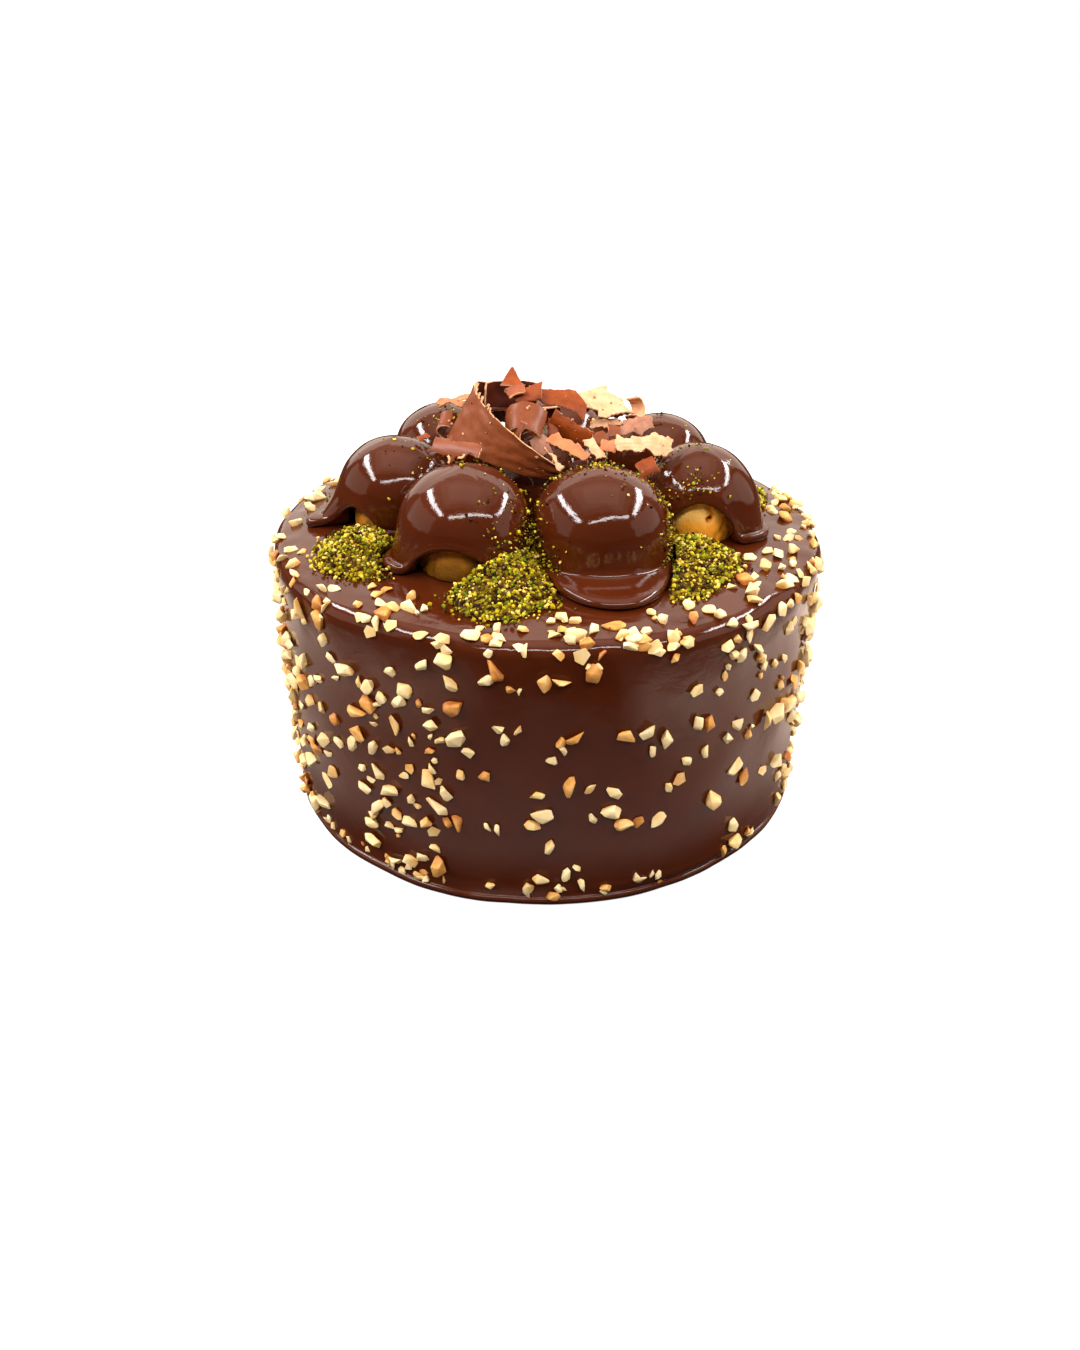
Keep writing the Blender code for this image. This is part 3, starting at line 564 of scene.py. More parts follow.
def crumb_finish():
    """A crumb's shade, from milk chocolate to the pale of a torn edge."""
    crumb = start_finish("curl_crumb")
    shades = (0.0, (0.20, 0.050, 0.014)), (1.0, (0.80, 0.42, 0.22))
    colour = crumb.ramp(crumb.attribute("crumb"), *shades)
    return crumb.finished({"Base Color": colour, "Roughness": 0.55})


GLAZE = glaze_finish()
CHOUX = choux_finish()
HAZELNUT = hazelnut_finish()
PISTACHIO = pistachio_finish()
PACKED_PISTACHIO_IN_SHADE = packed_pistachio_finish()
CURL_SHADES = {
    "milk": ((0.24, 0.058, 0.016), (0.185, 0.040, 0.010), 0.40, 0.15),
    # dark: the milk chocolate painted about three times darker, as painted shade inside the curls, in
    # the gaps of the pile and on both sides of the shadow sheet
    "dark": ((0.090, 0.0115, 0.0022), (0.065, 0.0075, 0.0014), 0.45, 0.3),
    "amber": ((0.34, 0.062, 0.005), (0.20, 0.030, 0.002), 0.46, 0.2),
    "peach": ((0.60, 0.210, 0.080), (0.44, 0.125, 0.042), 0.50, 0.4),
    "dusty": ((0.44, 0.200, 0.120), (0.30, 0.115, 0.066), 0.60, 0.5),
    "pale": ((0.84, 0.470, 0.260), (0.66, 0.300, 0.140), 0.55, 0.5),
    "edge": ((0.84, 0.460, 0.250), (0.66, 0.300, 0.140), 0.60, 0.4),
}
CURL_FINISHES = {name: curl_finish(name, *shades) for name, shades in CURL_SHADES.items()}

# --- Cake ---


def glaze_wave(azimuth, height):
    """How far out the poured glaze stands at a point of the side."""
    turn = math.radians(azimuth)
    up = height / CAKE_HEIGHT
    return SIDE_WAVE * (math.sin(5 * turn + 1.5 * up) + 0.6 * math.sin(9 * turn - 2 * up))


def foot_run(azimuth):
    """How far the glaze ran out round the base, as a share of FOOT_REACH."""
    turn = math.radians(azimuth)
    return 0.55 + 0.30 * math.sin(3 * turn + 1.0) + 0.15 * math.sin(7 * turn)


def glaze_profile():
    """(radius, height) down the outside of the glazed cake, closely spaced."""
    points = [(0.0, CAKE_HEIGHT)]
    points += [(0.004 + k * 0.0025, CAKE_HEIGHT) for k in range(30)]
    corner = (CAKE_RADIUS - RIM_RADIUS, CAKE_HEIGHT - TOP_FALL - RIM_RADIUS)
    for k in range(1, 5):
        share = k / 5
        radius = TOP_FLAT_RADIUS + (corner[0] - TOP_FLAT_RADIUS) * share
        points.append((radius, CAKE_HEIGHT - TOP_FALL * smooth(share * 0.8)))
    for k in range(11):
        angle = math.pi / 2 * k / 10
        out, up = RIM_RADIUS * math.sin(angle), RIM_RADIUS * math.cos(angle)
        points.append((corner[0] + out, corner[1] + up))
    steps = 46
    low = FOOT_HEIGHT * 1.6
    points += [(CAKE_RADIUS, corner[1] + (low - corner[1]) * k / steps) for k in range(1, steps)]
    foot = CAKE_RADIUS + FOOT_REACH
    points += [(CAKE_RADIUS + 0.0004, low), (CAKE_RADIUS + 0.0010, FOOT_HEIGHT * 1.15)]
    for k in range(7):
        angle = math.pi / 2 * k / 6
        out, up = 0.0010 * math.sin(angle), FOOT_HEIGHT * (0.45 + 0.5 * math.cos(angle))
        points.append((foot - 0.0010 + out, up))
    points += [(foot - 0.0004, 0.0), (0.0, 0.0)]
    return points


def build_glazed_cake():
    """The cake turned from its profile, with the slow waves that poured glaze sets in."""
    bm = bmesh.new()
    chain = [bm.verts.new((radius, 0, height)) for radius, height in glaze_profile()]
    edges = [bm.edges.new(pair) for pair in zip(chain, chain[1:])]
    turn = {"cent": (0, 0, 0), "axis": (0, 0, 1), "angle": math.tau, "steps": 260}
    bmesh.ops.spin(bm, geom=chain + edges, use_merge=True, **turn)
    bmesh.ops.remove_doubles(bm, verts=bm.verts, dist=1e-6)
    bmesh.ops.recalc_face_normals(bm, faces=bm.faces)
    for vertex in bm.verts:
        x, y, height = vertex.co
        radius = math.hypot(x, y)
        if height < 0.00001 and radius < CAKE_RADIUS * 0.5:
            continue
        azimuth = math.degrees(math.atan2(y, x))
        spot = Vector((x, y, height))
        if radius > TOP_FLAT_RADIUS:
            outward = smooth((radius - TOP_FLAT_RADIUS) / 0.006)
            out = radius + glaze_wave(azimuth, height) * outward
            if radius > CAKE_RADIUS + 0.0005:
                out -= FOOT_REACH * (1 - foot_run(azimuth))
            stretched = Vector((x * 55, y * 55, height * 30))
            out += SIDE_LUMP * noise.noise(stretched) * outward
            out += SIDE_RIPPLE * noise.noise(stretched * 2.6) * outward
            vertex.co = at_azimuth(azimuth, out, height)
        if height > CAKE_HEIGHT - RIM_RADIUS - TOP_FALL:
            vertex.co.z += TOP_LUMP * noise.noise(spot * 60) + TOP_RIPPLE * noise.noise(spot * 170)
        if height < 0.00001:
            vertex.co.z = 0.0
    return add_piece("glazed_cake", bm, [GLAZE], "chocolate", "cake")


def nut_density(patches, azimuth, across):
    """Pieces to a square centimetre at a point of the side or of the top."""
    density = SPARSEST
    for centre, middle, spread, width, peak in patches:
        near = math.exp(-(((across - middle) / width) ** 2))
        density += peak * near * lobe(azimuth, centre, spread)
    return density


def nut_length(index):
    """The length of a piece, the largest first."""
    share = (1 - index / NUT_TOTAL) ** NUT_SIZE_FALL
    return NUT_SMALLEST + (NUT_LARGEST - NUT_SMALLEST) * share


NutSpot = namedtuple("NutSpot", "point normal size spin")


def nut_spots(count):
    """Where the hazelnut pieces lie, the largest first: drawn at random over the side and the
    top's edge, and kept by how thick the patches are there."""
    rng = random.Random(NUT_SEED)
    side_top = CAKE_HEIGHT - TOP_FALL - RIM_RADIUS
    spots = []
    while len(spots) < count:
        azimuth, along = rng.uniform(-180, 180), rng.uniform(0, 1)
        on_top, keep, spin = rng.random() < NUT_TOP_SHARE, rng.random(), rng.uniform(0, 360)
        if on_top:
            radius = CAKE_RADIUS - RIM_RADIUS * 0.7 - NUT_TOP_WIDTH * along
            slope = max(0.0, (radius - TOP_FLAT_RADIUS) / (CAKE_RADIUS - RIM_RADIUS - TOP_FLAT_RADIUS))
            height = CAKE_HEIGHT - TOP_FALL * min(slope, 1.0)
            density = nut_density(TOP_PATCHES, azimuth, radius)
            normal = Vector((0, 0, 1))
        else:
            height = FOOT_HEIGHT + (side_top - FOOT_HEIGHT) * along
            radius = CAKE_RADIUS + glaze_wave(azimuth, height)
            density = nut_density(SIDE_PATCHES, azimuth, height)
            normal = at_azimuth(azimuth, 1, 0)
        if keep > density / DENSEST:
            continue
        point, size = at_azimuth(azimuth, radius, height), nut_length(len(spots))
        if any((point - other.point).length < NUT_SPACING * size for other in spots):
            continue
        if on_top and not top_is_free(point, NUT_CLEARANCE * size):
            continue
        spots.append(NutSpot(point, normal, size, spin))
    return spots


def top_is_free(point, clearance):
    """Whether a point of the top is that far from every puff and heap."""
    if inside_puff(point.x, point.y, clearance):
        return False
    for heap in HEAPS:
        dx, dy = point.x - heap.x, point.y - heap.y
        azimuth = math.degrees(math.atan2(dy, dx))
        if math.hypot(dx, dy) < heap_reach(heap, azimuth) + clearance:
            return False
    return True


def chip_shape(rng):
    """Corner points and faces of an angular chip, about 1 long, with its edges worn."""
    bm = bmesh.new()
    width, thickness = rng.uniform(0.55, 0.85), rng.uniform(0.42, 0.66)
    for _ in range(rng.randint(9, 14)):
        corner = Vector([rng.gauss(0, 1) for _ in range(3)]).normalized() * rng.uniform(0.47, 0.57)
        bm.verts.new((corner.x, corner.y * width, corner.z * thickness))
    bmesh.ops.convex_hull(bm, input=bm.verts)
    bmesh.ops.delete(bm, geom=[v for v in bm.verts if not v.link_faces], context="VERTS")
    bmesh.ops.dissolve_limit(bm, angle_limit=math.radians(14), verts=bm.verts, edges=bm.edges)
    worn = {"offset": 0.035, "segments": 1, "profile": 0.5, "clamp_overlap": True}
    bmesh.ops.bevel(bm, geom=bm.edges[:], affect="EDGES", material=-1, **worn)
    for vertex in bm.verts:
        if vertex.co.length > CHIP_REACH:
            vertex.co *= CHIP_REACH / vertex.co.length
    bmesh.ops.triangulate(bm, faces=bm.faces)
    bm.verts.index_update()
    points = [vertex.co.copy() for vertex in bm.verts]
    faces = [[vertex.index for vertex in face.verts] for face in bm.faces]
    bm.free()
    return points, faces, thickness


def more_nuts(spots):
    """Adds smaller pieces: some on the rounded rim, and some that stick to larger ones."""
    rng = random.Random(NUT_SEED + 1)
    spots = list(spots)
    for _ in range(RIM_NUT_DRAWS):
        azimuth, keep, spin = rng.uniform(-180, 180), rng.random(), rng.uniform(0, 360)
        if keep > nut_density(TOP_PATCHES, azimuth, RIM_LOOKUP_RADIUS) / DENSEST:
            continue
        slant = math.radians(rng.uniform(8, 82))
        radius = CAKE_RADIUS - RIM_RADIUS * (1 - math.sin(slant))
        height = CAKE_HEIGHT - TOP_FALL - RIM_RADIUS * (1 - math.cos(slant))
        normal = at_azimuth(azimuth, math.sin(slant), math.cos(slant))
        size = rng.uniform(NUT_SMALLEST, 1.5 * NUT_SMALLEST)
        spots.append(NutSpot(at_azimuth(azimuth, radius, height), normal, size, spin))
    for azimuth, spread, count in FOOT_NUTS:
        for _ in range(count):
            size, spin = rng.uniform(0.8, 1.4) * NUT_SMALLEST, rng.uniform(0, 360)
            at, up = rng.gauss(azimuth, spread), 0.55 * size + rng.uniform(0.0, 0.0040)
            spots.append(NutSpot(at_azimuth(at, CAKE_RADIUS, up), at_azimuth(at, 1, 0), size, spin))
    for spot in list(spots):
        size, angle, spin = rng.uniform(0.55, 0.85) * spot.size, rng.uniform(0, 360), rng.uniform(0, 360)
        if rng.random() > CLUMPED_SHARE:
            continue
        level = spot.normal.z > 0.9
        side = Vector((1, 0, 0)) if level else Vector((0, 0, 1)).cross(spot.normal).normalized()
        beside = at_azimuth(angle, 0.42 * (spot.size + size), 0)
        point = spot.point + side * beside.x + spot.normal.cross(side) * beside.y
        azimuth, out = math.degrees(math.atan2(point.y, point.x)), math.hypot(point.x, point.y)
        if level:
            if out > CAKE_RADIUS - RIM_RADIUS * 0.7 or not top_is_free(point, 0.3 * size):
                continue
            spots.append(NutSpot(point, spot.normal, size, spin))
        elif FOOT_HEIGHT * 1.2 < point.z < CAKE_HEIGHT - RIM_RADIUS - TOP_FALL:
            point = at_azimuth(azimuth, CAKE_RADIUS + glaze_wave(azimuth, point.z), point.z)
            spots.append(NutSpot(point, at_azimuth(azimuth, 1, 0), size, spin))
    return spots


def build_nuts():
    """Every hazelnut piece: an angular chip, partly set in the glaze."""
    rng = random.Random(NUT_SEED)
    shapes = [chip_shape(rng) for _ in range(NUT_SHAPES)]
    points, faces, toasts_and_shades = [], [], []
    for spot in more_nuts(nut_spots(NUT_TOTAL)):
        rng = random.Random(f"{spot.spin:.6f}")
        shape, shape_faces, thickness = shapes[rng.randrange(NUT_SHAPES)]
        toast = 0.05 + 0.75 * rng.random() ** 2.4
        browner_end = rng.uniform(-0.3, 0.3)
        stand = spot.normal.to_track_quat("Z", "Y").to_matrix().to_4x4()
        lie = Matrix.Rotation(math.radians(spot.spin), 4, "Z")
        lean = Matrix.Rotation(rng.uniform(-0.45, 0.45), 4, "X")
        lift = spot.normal * spot.size * thickness * (0.5 - NUT_SINK)
        place = Matrix.Translation(spot.point + lift) @ stand @ lie @ lean @ Matrix.Scale(spot.size, 4)
        first = len(points)
        points += [tuple(place @ point) for point in shape]
        # Painted shade: each chip is browner towards its underside, where it sits in the glaze.
        shade_depths = [-(lie @ lean @ point).z / thickness for point in shape]
        toasts_and_shades += [
            min(max(toast + browner_end * point.x + 0.42 * depth, 0.0), 1.0)
            for point, depth in zip(shape, shade_depths)
        ]
        faces += [[first + index for index in face] for face in shape_faces]
    mesh = bpy.data.meshes.new("hazelnuts")
    mesh.from_pydata(points, [], faces)
    mesh.attributes.new("toast", "FLOAT", "POINT").data.foreach_set("value", toasts_and_shades)
    piece = add_mesh_piece("hazelnuts", mesh, [HAZELNUT], "chocolate")
    mesh.set_sharp_from_angle(angle=math.radians(28))
    return piece


# --- Puffs ---


def dome_point(radius, height, polar):
    """(radius, height) of a puff's outline at a polar angle: round above the waist, and nearly
    upright below it."""
    waist = WAIST_SHARE * height
    if polar < math.pi / 2:
        return radius * math.sin(polar), waist + (height - waist) * math.cos(polar)
    out = FOOT_SHARE + (1 - FOOT_SHARE) * math.sin(polar)
    return radius * out, waist + waist * math.cos(polar)


def polar_at(height, level):
    """The polar angle at which a puff's outline is at that level."""
    waist = WAIST_SHARE * height
    rise = height - waist if level > waist else waist
    return math.acos(min(max((level - waist) / rise, -1.0), 1.0))


def window_share(puff, azimuth):
    """Height of the puff's arched window there, as a share of its full height."""
    if puff.window is None:
        return 0.0
    centre, half_width, _ = puff.window
    off = abs(wrapped(azimuth - centre)) / half_width
    return math.cos(math.pi / 2 * min(off / 1.15, 1.0)) ** 0.8


def drape(puff, azimuth, level):
    """How far the chocolate stands out from the puff's dome where it runs down into a tongue or
    lies in a fold."""
    out = 0.0
    for centre, length, spread, start in puff.tongues:
        out += length * lobe(azimuth, centre, spread) * max(0.0, 1 - level / start) ** 2
    for centre, spread, middle, width, size in puff.folds:
        out += size * lobe(azimuth, centre, spread) * math.exp(-(((level - middle) / width) ** 2))
    return out


def foot_reach(puff, azimuth):
    """How far from the puff's axis its chocolate reaches on the cake."""
    reach = FOOT_SHARE * puff.radius + COAT_THICKNESS * 0.4
    for centre, length, spread, _ in puff.tongues:
        reach += length * lobe(azimuth, centre, spread)
    return reach


def coat_outline(puff, azimuth):
    """Control points (radius, height) down the outside of the chocolate and under its edge."""
    radius, height = puff.radius * SPLINE_FULLNESS, puff.height
    open_share = window_share(puff, azimuth)
    lip_height = puff.window[2] * open_share if puff.window else 0.0
    lowest = polar_at(height, lip_height + POOL_THICKNESS * 1.5)
    dome = [dome_point(radius, height, lowest * k / 6) for k in range(7)]
    dome = [(out + drape(puff, azimuth, level) * (out / radius), level) for out, level in dome]
    thick = POOL_THICKNESS
    foot = FOOT_SHARE * radius + drape(puff, azimuth, thick * 1.1)
    reach = max(foot_reach(puff, azimuth), foot)
    pool = (
        (foot, thick * 1.1),
        ((foot + reach) / 2, thick),
        (reach + 0.25 * thick, thick),
        (reach + 0.25 * thick, 0.0),
        (reach - 0.50 * thick, 0.0),
    )
    end = dome[-1][0]
    lip = (
        (end, lip_height + 1.1 * thick),
        (end + LIP_SWELL, lip_height + 0.6 * thick),
        (end, lip_height + 0.1 * thick),
        (end - 0.25 * thick, lip_height),
        (end - 0.50 * thick, lip_height + 0.2 * thick),
    )
    blend = min(1.0, 2.0 * open_share)
    skirt = [
        tuple(p * (1 - blend) + q * blend for p, q in zip(*pair)) for pair in zip(pool, lip)
    ]
    return dome + skirt


def bun_size(puff):
    """Radius and height of the choux bun under the chocolate."""
    inset = COAT_THICKNESS + BUN_GAP
    return puff.radius - inset, puff.height - inset


def bun_bulge(puff, azimuth, level):
    """How far the bun swells out there through the window of its chocolate."""
    centre, half_width, top = puff.window
    across = wrapped(azimuth - centre) / (0.9 * half_width)
    up = level / (0.85 * top)
    return BUN_SWELL * max(0.0, 1 - across**2) * max(0.0, 1 - up**2)


def coat_lining(puff, azimuth):
    """Control points (radius, height) up the inside of the chocolate, clear of the bun."""
    radius = (puff.radius - COAT_THICKNESS) * SPLINE_FULLNESS
    height = puff.height - COAT_THICKNESS
    level = coat_outline(puff, azimuth)[-1][1] + POOL_THICKNESS * 0.4
    start = polar_at(height, level)
    return [dome_point(radius, height, start * k / 5) for k in range(5, -1, -1)]


def coat_point(puff, azimuth, share):
    """A point of the chocolate over a puff, about the puff's own foot."""
    outline = coat_outline(puff, azimuth)
    if puff.window is None:
        inside = [(0.0, 0.0)]
    else:
        inside = coat_lining(puff, azimuth)
        inside = [(inside[0][0], outline[-1][1])] + inside
    radius, height = spline_point(outline + inside, share)
    return at_azimuth(azimuth, radius, height)


def build_coat(puff):
    """The chocolate over a puff, thick at its lip and pooled round its foot."""
    shell = puff.window is not None
    origin = Vector((puff.x, puff.y, CAKE_HEIGHT + GAP))

    def place(azimuth, share):
        point = coat_point(puff, azimuth, share)
        lump = noise.noise((point + origin) * 70) * 0.6 + noise.noise((point + origin) * 160) * 0.25
        return origin + point * (1 + COAT_LUMP * lump)

    bm = wrapped_sphere(120, 110 if shell else 84, place)
    kind = "coat" if shell else "profiterole"
    node = f"{kind}_{puff.name}"
    return add_piece(f"poured_{node}", bm, [GLAZE], "chocolate", node)


def split_at(azimuth, level):
    """How near a point of the split bun is to the split and to the hole, and how far it is on
    the split's paler side, each from 0 to 1."""
    here = Vector((math.radians(azimuth) * 0.0145, level))
    line = [Vector((math.radians(a) * 0.0145, b)) for a, b in SPLIT]
    nearest = 1.0
    for first, second in zip(line, line[1:]):
        along = second - first
        share = min(max((here - first).dot(along) / along.length_squared, 0.0), 1.0)
        nearest = min(nearest, (here - first - along * share).length)
    middle = line[1].x + (line[3].x - line[1].x) * smooth((line[1].y - level) / (line[1].y - line[3].y))
    beside = smooth((middle - here.x) / 0.002 + 0.5) * smooth((level - 0.0075) / 0.003)
    hole = smooth(1.6 * (1 - (here - line[-1]).length / HOLE_RADIUS))
    return math.exp(-((nearest / SPLIT_WIDTH) ** 2)), hole, beside


def build_bun(puff):
    """The choux bun under a coat: lumpy, with cracks from its baking."""
    radius, height = bun_size(puff)
    steps = 110
    origin = Vector((puff.x, puff.y, CAKE_HEIGHT + GAP))

    def place(azimuth, share):
        if share > 1 - 0.5 / steps:
            return origin
        out, up = dome_point(radius, height, math.pi * share * steps / (steps - 1))
        point = at_azimuth(azimuth, out + bun_bulge(puff, azimuth, up), up)
        spot = point + Vector((puff.x, puff.y, 0)) * 7
        lump = noise.noise(spot * 110)
        crack = max(0.0, 1 - abs(noise.noise(spot * 70 + Vector((3, 1, 7)))) * 9)
        fine = noise.noise(spot * 330)
        inset = 0.0
        if puff.name == SPLIT_BUN:
            gap, hole, _ = split_at(azimuth, up)
            inset = (SPLIT_DEPTH * gap + HOLE_DEPTH * hole) / point.length
        size = 1 + BUN_LUMP * lump + BUN_GRAIN * fine - BUN_CRACK * crack - inset - BUN_SHRINK
        return origin + point * size

    bm = wrapped_sphere(160, steps, place)
    pale = bm.verts.layers.float.new("pale")
    for vertex in bm.verts:
        spot = vertex.co - origin
        up, across = spot.z / puff.window[2], spot.x / puff.radius
        # Painted light and shade: paler towards the top, darker towards the bun's +x side.
        shade = BUN_PALENESS_AND_SHADE[puff.name] + 0.25 * smooth(up) - 0.15 * smooth(across)
        if puff.name == SPLIT_BUN:
            gap, hole, beside = split_at(math.degrees(math.atan2(spot.y, spot.x)), spot.z)
            # Painted shade: darker along the split and nearly black in the hole; paler on one side of
            # the split.
            shade += 0.16 * beside - 0.40 * gap - 1.2 * hole
        vertex[pale] = shade
    return add_piece(f"baked_bun_{puff.name}", bm, [CHOUX], "choux", f"bun_{puff.name}")


# --- Pistachio ---


def inside_puff(x, y, clearance):
    """Whether the point on the cake's top is within clearance of a puff or its chocolate."""
    for puff in PUFFS:
        dx, dy = x - puff.x, y - puff.y
        azimuth = math.degrees(math.atan2(dy, dx))
        folds = sum(size * lobe(azimuth, fold, spread) for fold, spread, _, _, size in puff.folds)
        widest = puff.radius * 1.03 + folds
        limit = max(widest, foot_reach(puff, azimuth) + 0.25 * POOL_THICKNESS)
        if math.hypot(dx, dy) < limit + clearance:
            return True
    return False


def heap_oval(heap, azimuth):
    """How far the heap spreads from its middle where nothing is in its way."""
    angle = math.radians(azimuth - heap.turn)
    a, b = heap.length / 2, heap.width / 2
    oval = a * b / math.hypot(b * math.cos(angle), a * math.sin(angle))
    return oval * (1 + 0.10 * math.sin(3 * angle + heap.x * 400))


def heap_reach(heap, azimuth):
    """How far the heap spreads from its middle until it meets a puff."""
    reach, step = 0.002, 0.0005
    while reach < heap_oval(heap, azimuth):
        ahead = at_azimuth(azimuth, reach + step, 0)
        if inside_puff(heap.x + ahead.x, heap.y + ahead.y, HEAP_CLEARANCE):
            break
        reach += step
    return reach


def heap_height(heap, azimuth, distance):
    """Height of the heap at a distance from its middle: it is piled up towards the puffs."""
    share = min(1.0, distance / heap_oval(heap, azimuth))
    inward = math.degrees(math.atan2(-heap.y, -heap.x))
    lean = HEAP_LEAN * share * math.cos(math.radians(azimuth - inward))
    return heap.height * (1 - share**2) ** 0.75 * (1 + lean)


def build_heap_core(heap):
    """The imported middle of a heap, just under its loose grains."""
    steps = 24
    origin = Vector((heap.x, heap.y, CAKE_HEIGHT + GAP))
    reaches = {}

    def place(azimuth, share):
        if share > 1 - 0.5 / steps:
            return origin
        out = min(1.0, math.sin(math.pi / 2 * share * steps / (steps - 1)))
        key = round(azimuth, 3)
        if key not in reaches:
            reaches[key] = heap_reach(heap, azimuth)
        distance = (reaches[key] - CORE_DEPTH) * out
        if share > 1 - 1.5 / steps:
            return origin + at_azimuth(azimuth, distance, 0)
        height = heap_height(heap, azimuth, reaches[key] * out) - CORE_DEPTH
        point = at_azimuth(azimuth, distance, height)
        point.z = max(point.z + 0.0004 * noise.noise((point + origin) * 900), HEAP_EDGE)
        return origin + point

    bm = wrapped_sphere(72, steps, place)
    node = f"pistachio_{heap.name}"
    return add_piece(f"heap_core_{heap.name}", bm, [PACKED_PISTACHIO_IN_SHADE], "pistachio", node)


def scatter(name, spots, finish, slot, layer, seed):
    """One mesh of many grains: spots is a list of (point, size, tint)."""
    rng = np.random.default_rng(seed)
    bm = bmesh.new()
    bmesh.ops.create_icosphere(bm, subdivisions=1, radius=0.5)
    bm.verts.ensure_lookup_table()
    shape = np.array([v.co for v in bm.verts])
    faces = np.array([[v.index for v in f.verts] for f in bm.faces])
    bm.free()
    count, corners = len(spots), len(shape)
    centres = np.array([tuple(p) for p, _, _ in spots])
    sizes = np.array([s for _, s, _ in spots])
    squash = rng.uniform(0.55, 1.15, (count, 1, 3))
    jitter = rng.uniform(0.78, 1.18, (count, corners, 1))
    turns = rng.normal(size=(count, 4))
    turns /= np.linalg.norm(turns, axis=1, keepdims=True)
    w, x, y, z = turns.T
    rows = np.stack(
        [
            np.stack([1 - 2 * (y * y + z * z), 2 * (x * y - z * w), 2 * (x * z + y * w)], -1),
            np.stack([2 * (x * y + z * w), 1 - 2 * (x * x + z * z), 2 * (y * z - x * w)], -1),
            np.stack([2 * (x * z - y * w), 2 * (y * z + x * w), 1 - 2 * (x * x + y * y)], -1),
        ],
        1,
    )
    local = shape[None] * squash * jitter
    points = np.einsum("nij,nkj->nki", rows, local) * sizes[:, None, None] + centres[:, None]
    indices = faces[None] + (np.arange(count) * corners)[:, None, None]
    mesh = bpy.data.meshes.new(name)
    mesh.from_pydata(points.reshape(-1, 3).tolist(), [], indices.reshape(-1, 3).tolist())
    tints = np.repeat(np.array([t for _, _, t in spots]), corners)
    mesh.attributes.new(layer, "FLOAT", "POINT").data.foreach_set("value", tints.astype(np.float32))
    return add_mesh_piece(name, mesh, [finish], slot, smooth_faces=False)


def grain_tint(rng):
    """Where a grain falls on the pistachio's colours: mostly olive to yellow green."""
    draw = rng.random()
    # Painted shade in part: a third of the grains go dark brown to nearly black, for the dark gaps
    # between grains as well as the grains' own brown.
    if draw < 0.33:
        return rng.uniform(-0.05, 0.18)
    if draw < 0.76:
        return rng.uniform(0.18, 0.56)
    if draw < 0.88:
        return rng.uniform(0.56, 0.68)
    return rng.uniform(0.77, 0.88)


def grain_size(rng):
    """A grain's size: most are small."""
    return GRAIN_SMALLEST + GRAIN_SPREAD * rng.random() ** 2.0


def heap_grains():
    """The loose grains on every heap, some of them spilt past its edge."""
    rng = random.Random(HEAP_SEED)
    spots = []
    for heap in HEAPS:
        reaches = [heap_reach(heap, azimuth) for azimuth in range(-180, 180, 4)]
        area = sum(reach**2 for reach in reaches) * math.radians(4) / 2
        for _ in range(int(area / GRAIN_AREA)):
            azimuth, out = rng.uniform(-180, 180), math.sqrt(rng.random()) * HEAP_SPILL
            reach = reaches[int((azimuth + 180) / 4) % len(reaches)]
            size = grain_size(rng)
            if out > 1 and rng.random() < 0.55 + 2 * (out - 1):
                continue
            height = heap_height(heap, azimuth, reach * out) if out < 1 else 0.0
            height += rng.uniform(*GRAIN_RISE)
            ahead = at_azimuth(azimuth, reach * out, max(height, size * 0.35))
            point = Vector((heap.x, heap.y, CAKE_HEIGHT + GAP)) + ahead
            if out > 1 and inside_puff(point.x, point.y, 0.0):
                continue
            spots.append((point, size, grain_tint(rng)))
    return spots


def coat_surface(puff, azimuth, share):
    """A point of a puff's coat and the way it faces there."""
    origin = Vector((puff.x, puff.y, CAKE_HEIGHT + GAP))
    here = coat_point(puff, azimuth, share)
    beside = coat_point(puff, azimuth + 1.5, share)
    below = coat_point(puff, azimuth, share + 0.012)
    normal = (below - here).cross(beside - here).normalized()
    return origin + here, normal


GRAIN_LAYERS = (0.15, 0.25, 0.9)  # how far out a sprinkled grain lies, in grains
# A sprinkle falls on a puff: (puff, azimuth, spread, share down its outside, spread, grains)
SPRINKLES = (
    ("front_left", -24, 17, 0.84, 0.15, 560),
    ("front_left", 20, 30, 0.45, 0.14, 60),
    ("front_left", -60, 14, 0.62, 0.10, 40),
    ("front_left", 100, 40, 0.10, 0.06, 34),
    ("front_right", 198, 16, 0.86, 0.14, 520),
    ("front_right", 160, 24, 0.44, 0.12, 70),
    ("front_right", 100, 44, 0.20, 0.06, 110),
    ("front_right", 2, 16, 0.72, 0.20, 380),
    ("front_right", 4, 13, 0.93, 0.08, 300),
    ("front_right", -60, 60, 0.26, 0.14, 22),
    ("left", -26, 18, 0.76, 0.18, 330),
    ("left", -70, 50, 0.24, 0.14, 14),
    ("back_left", -70, 40, 0.40, 0.16, 120),
    ("back_left", -40, 30, 0.80, 0.16, 110),
    ("right", -112, 18, 0.74, 0.10, 90),
    ("right", 178, 18, 0.62, 0.22, 190),
    ("right", -90, 60, 0.24, 0.16, 16),
    ("back_right", -120, 50, 0.26, 0.14, 30),
    ("back", 30, 40, 0.50, 0.18, 90),
    ("back", 150, 40, 0.50, 0.18, 90),
    ("centre", -90, 70, 0.50, 0.20, 90),
)


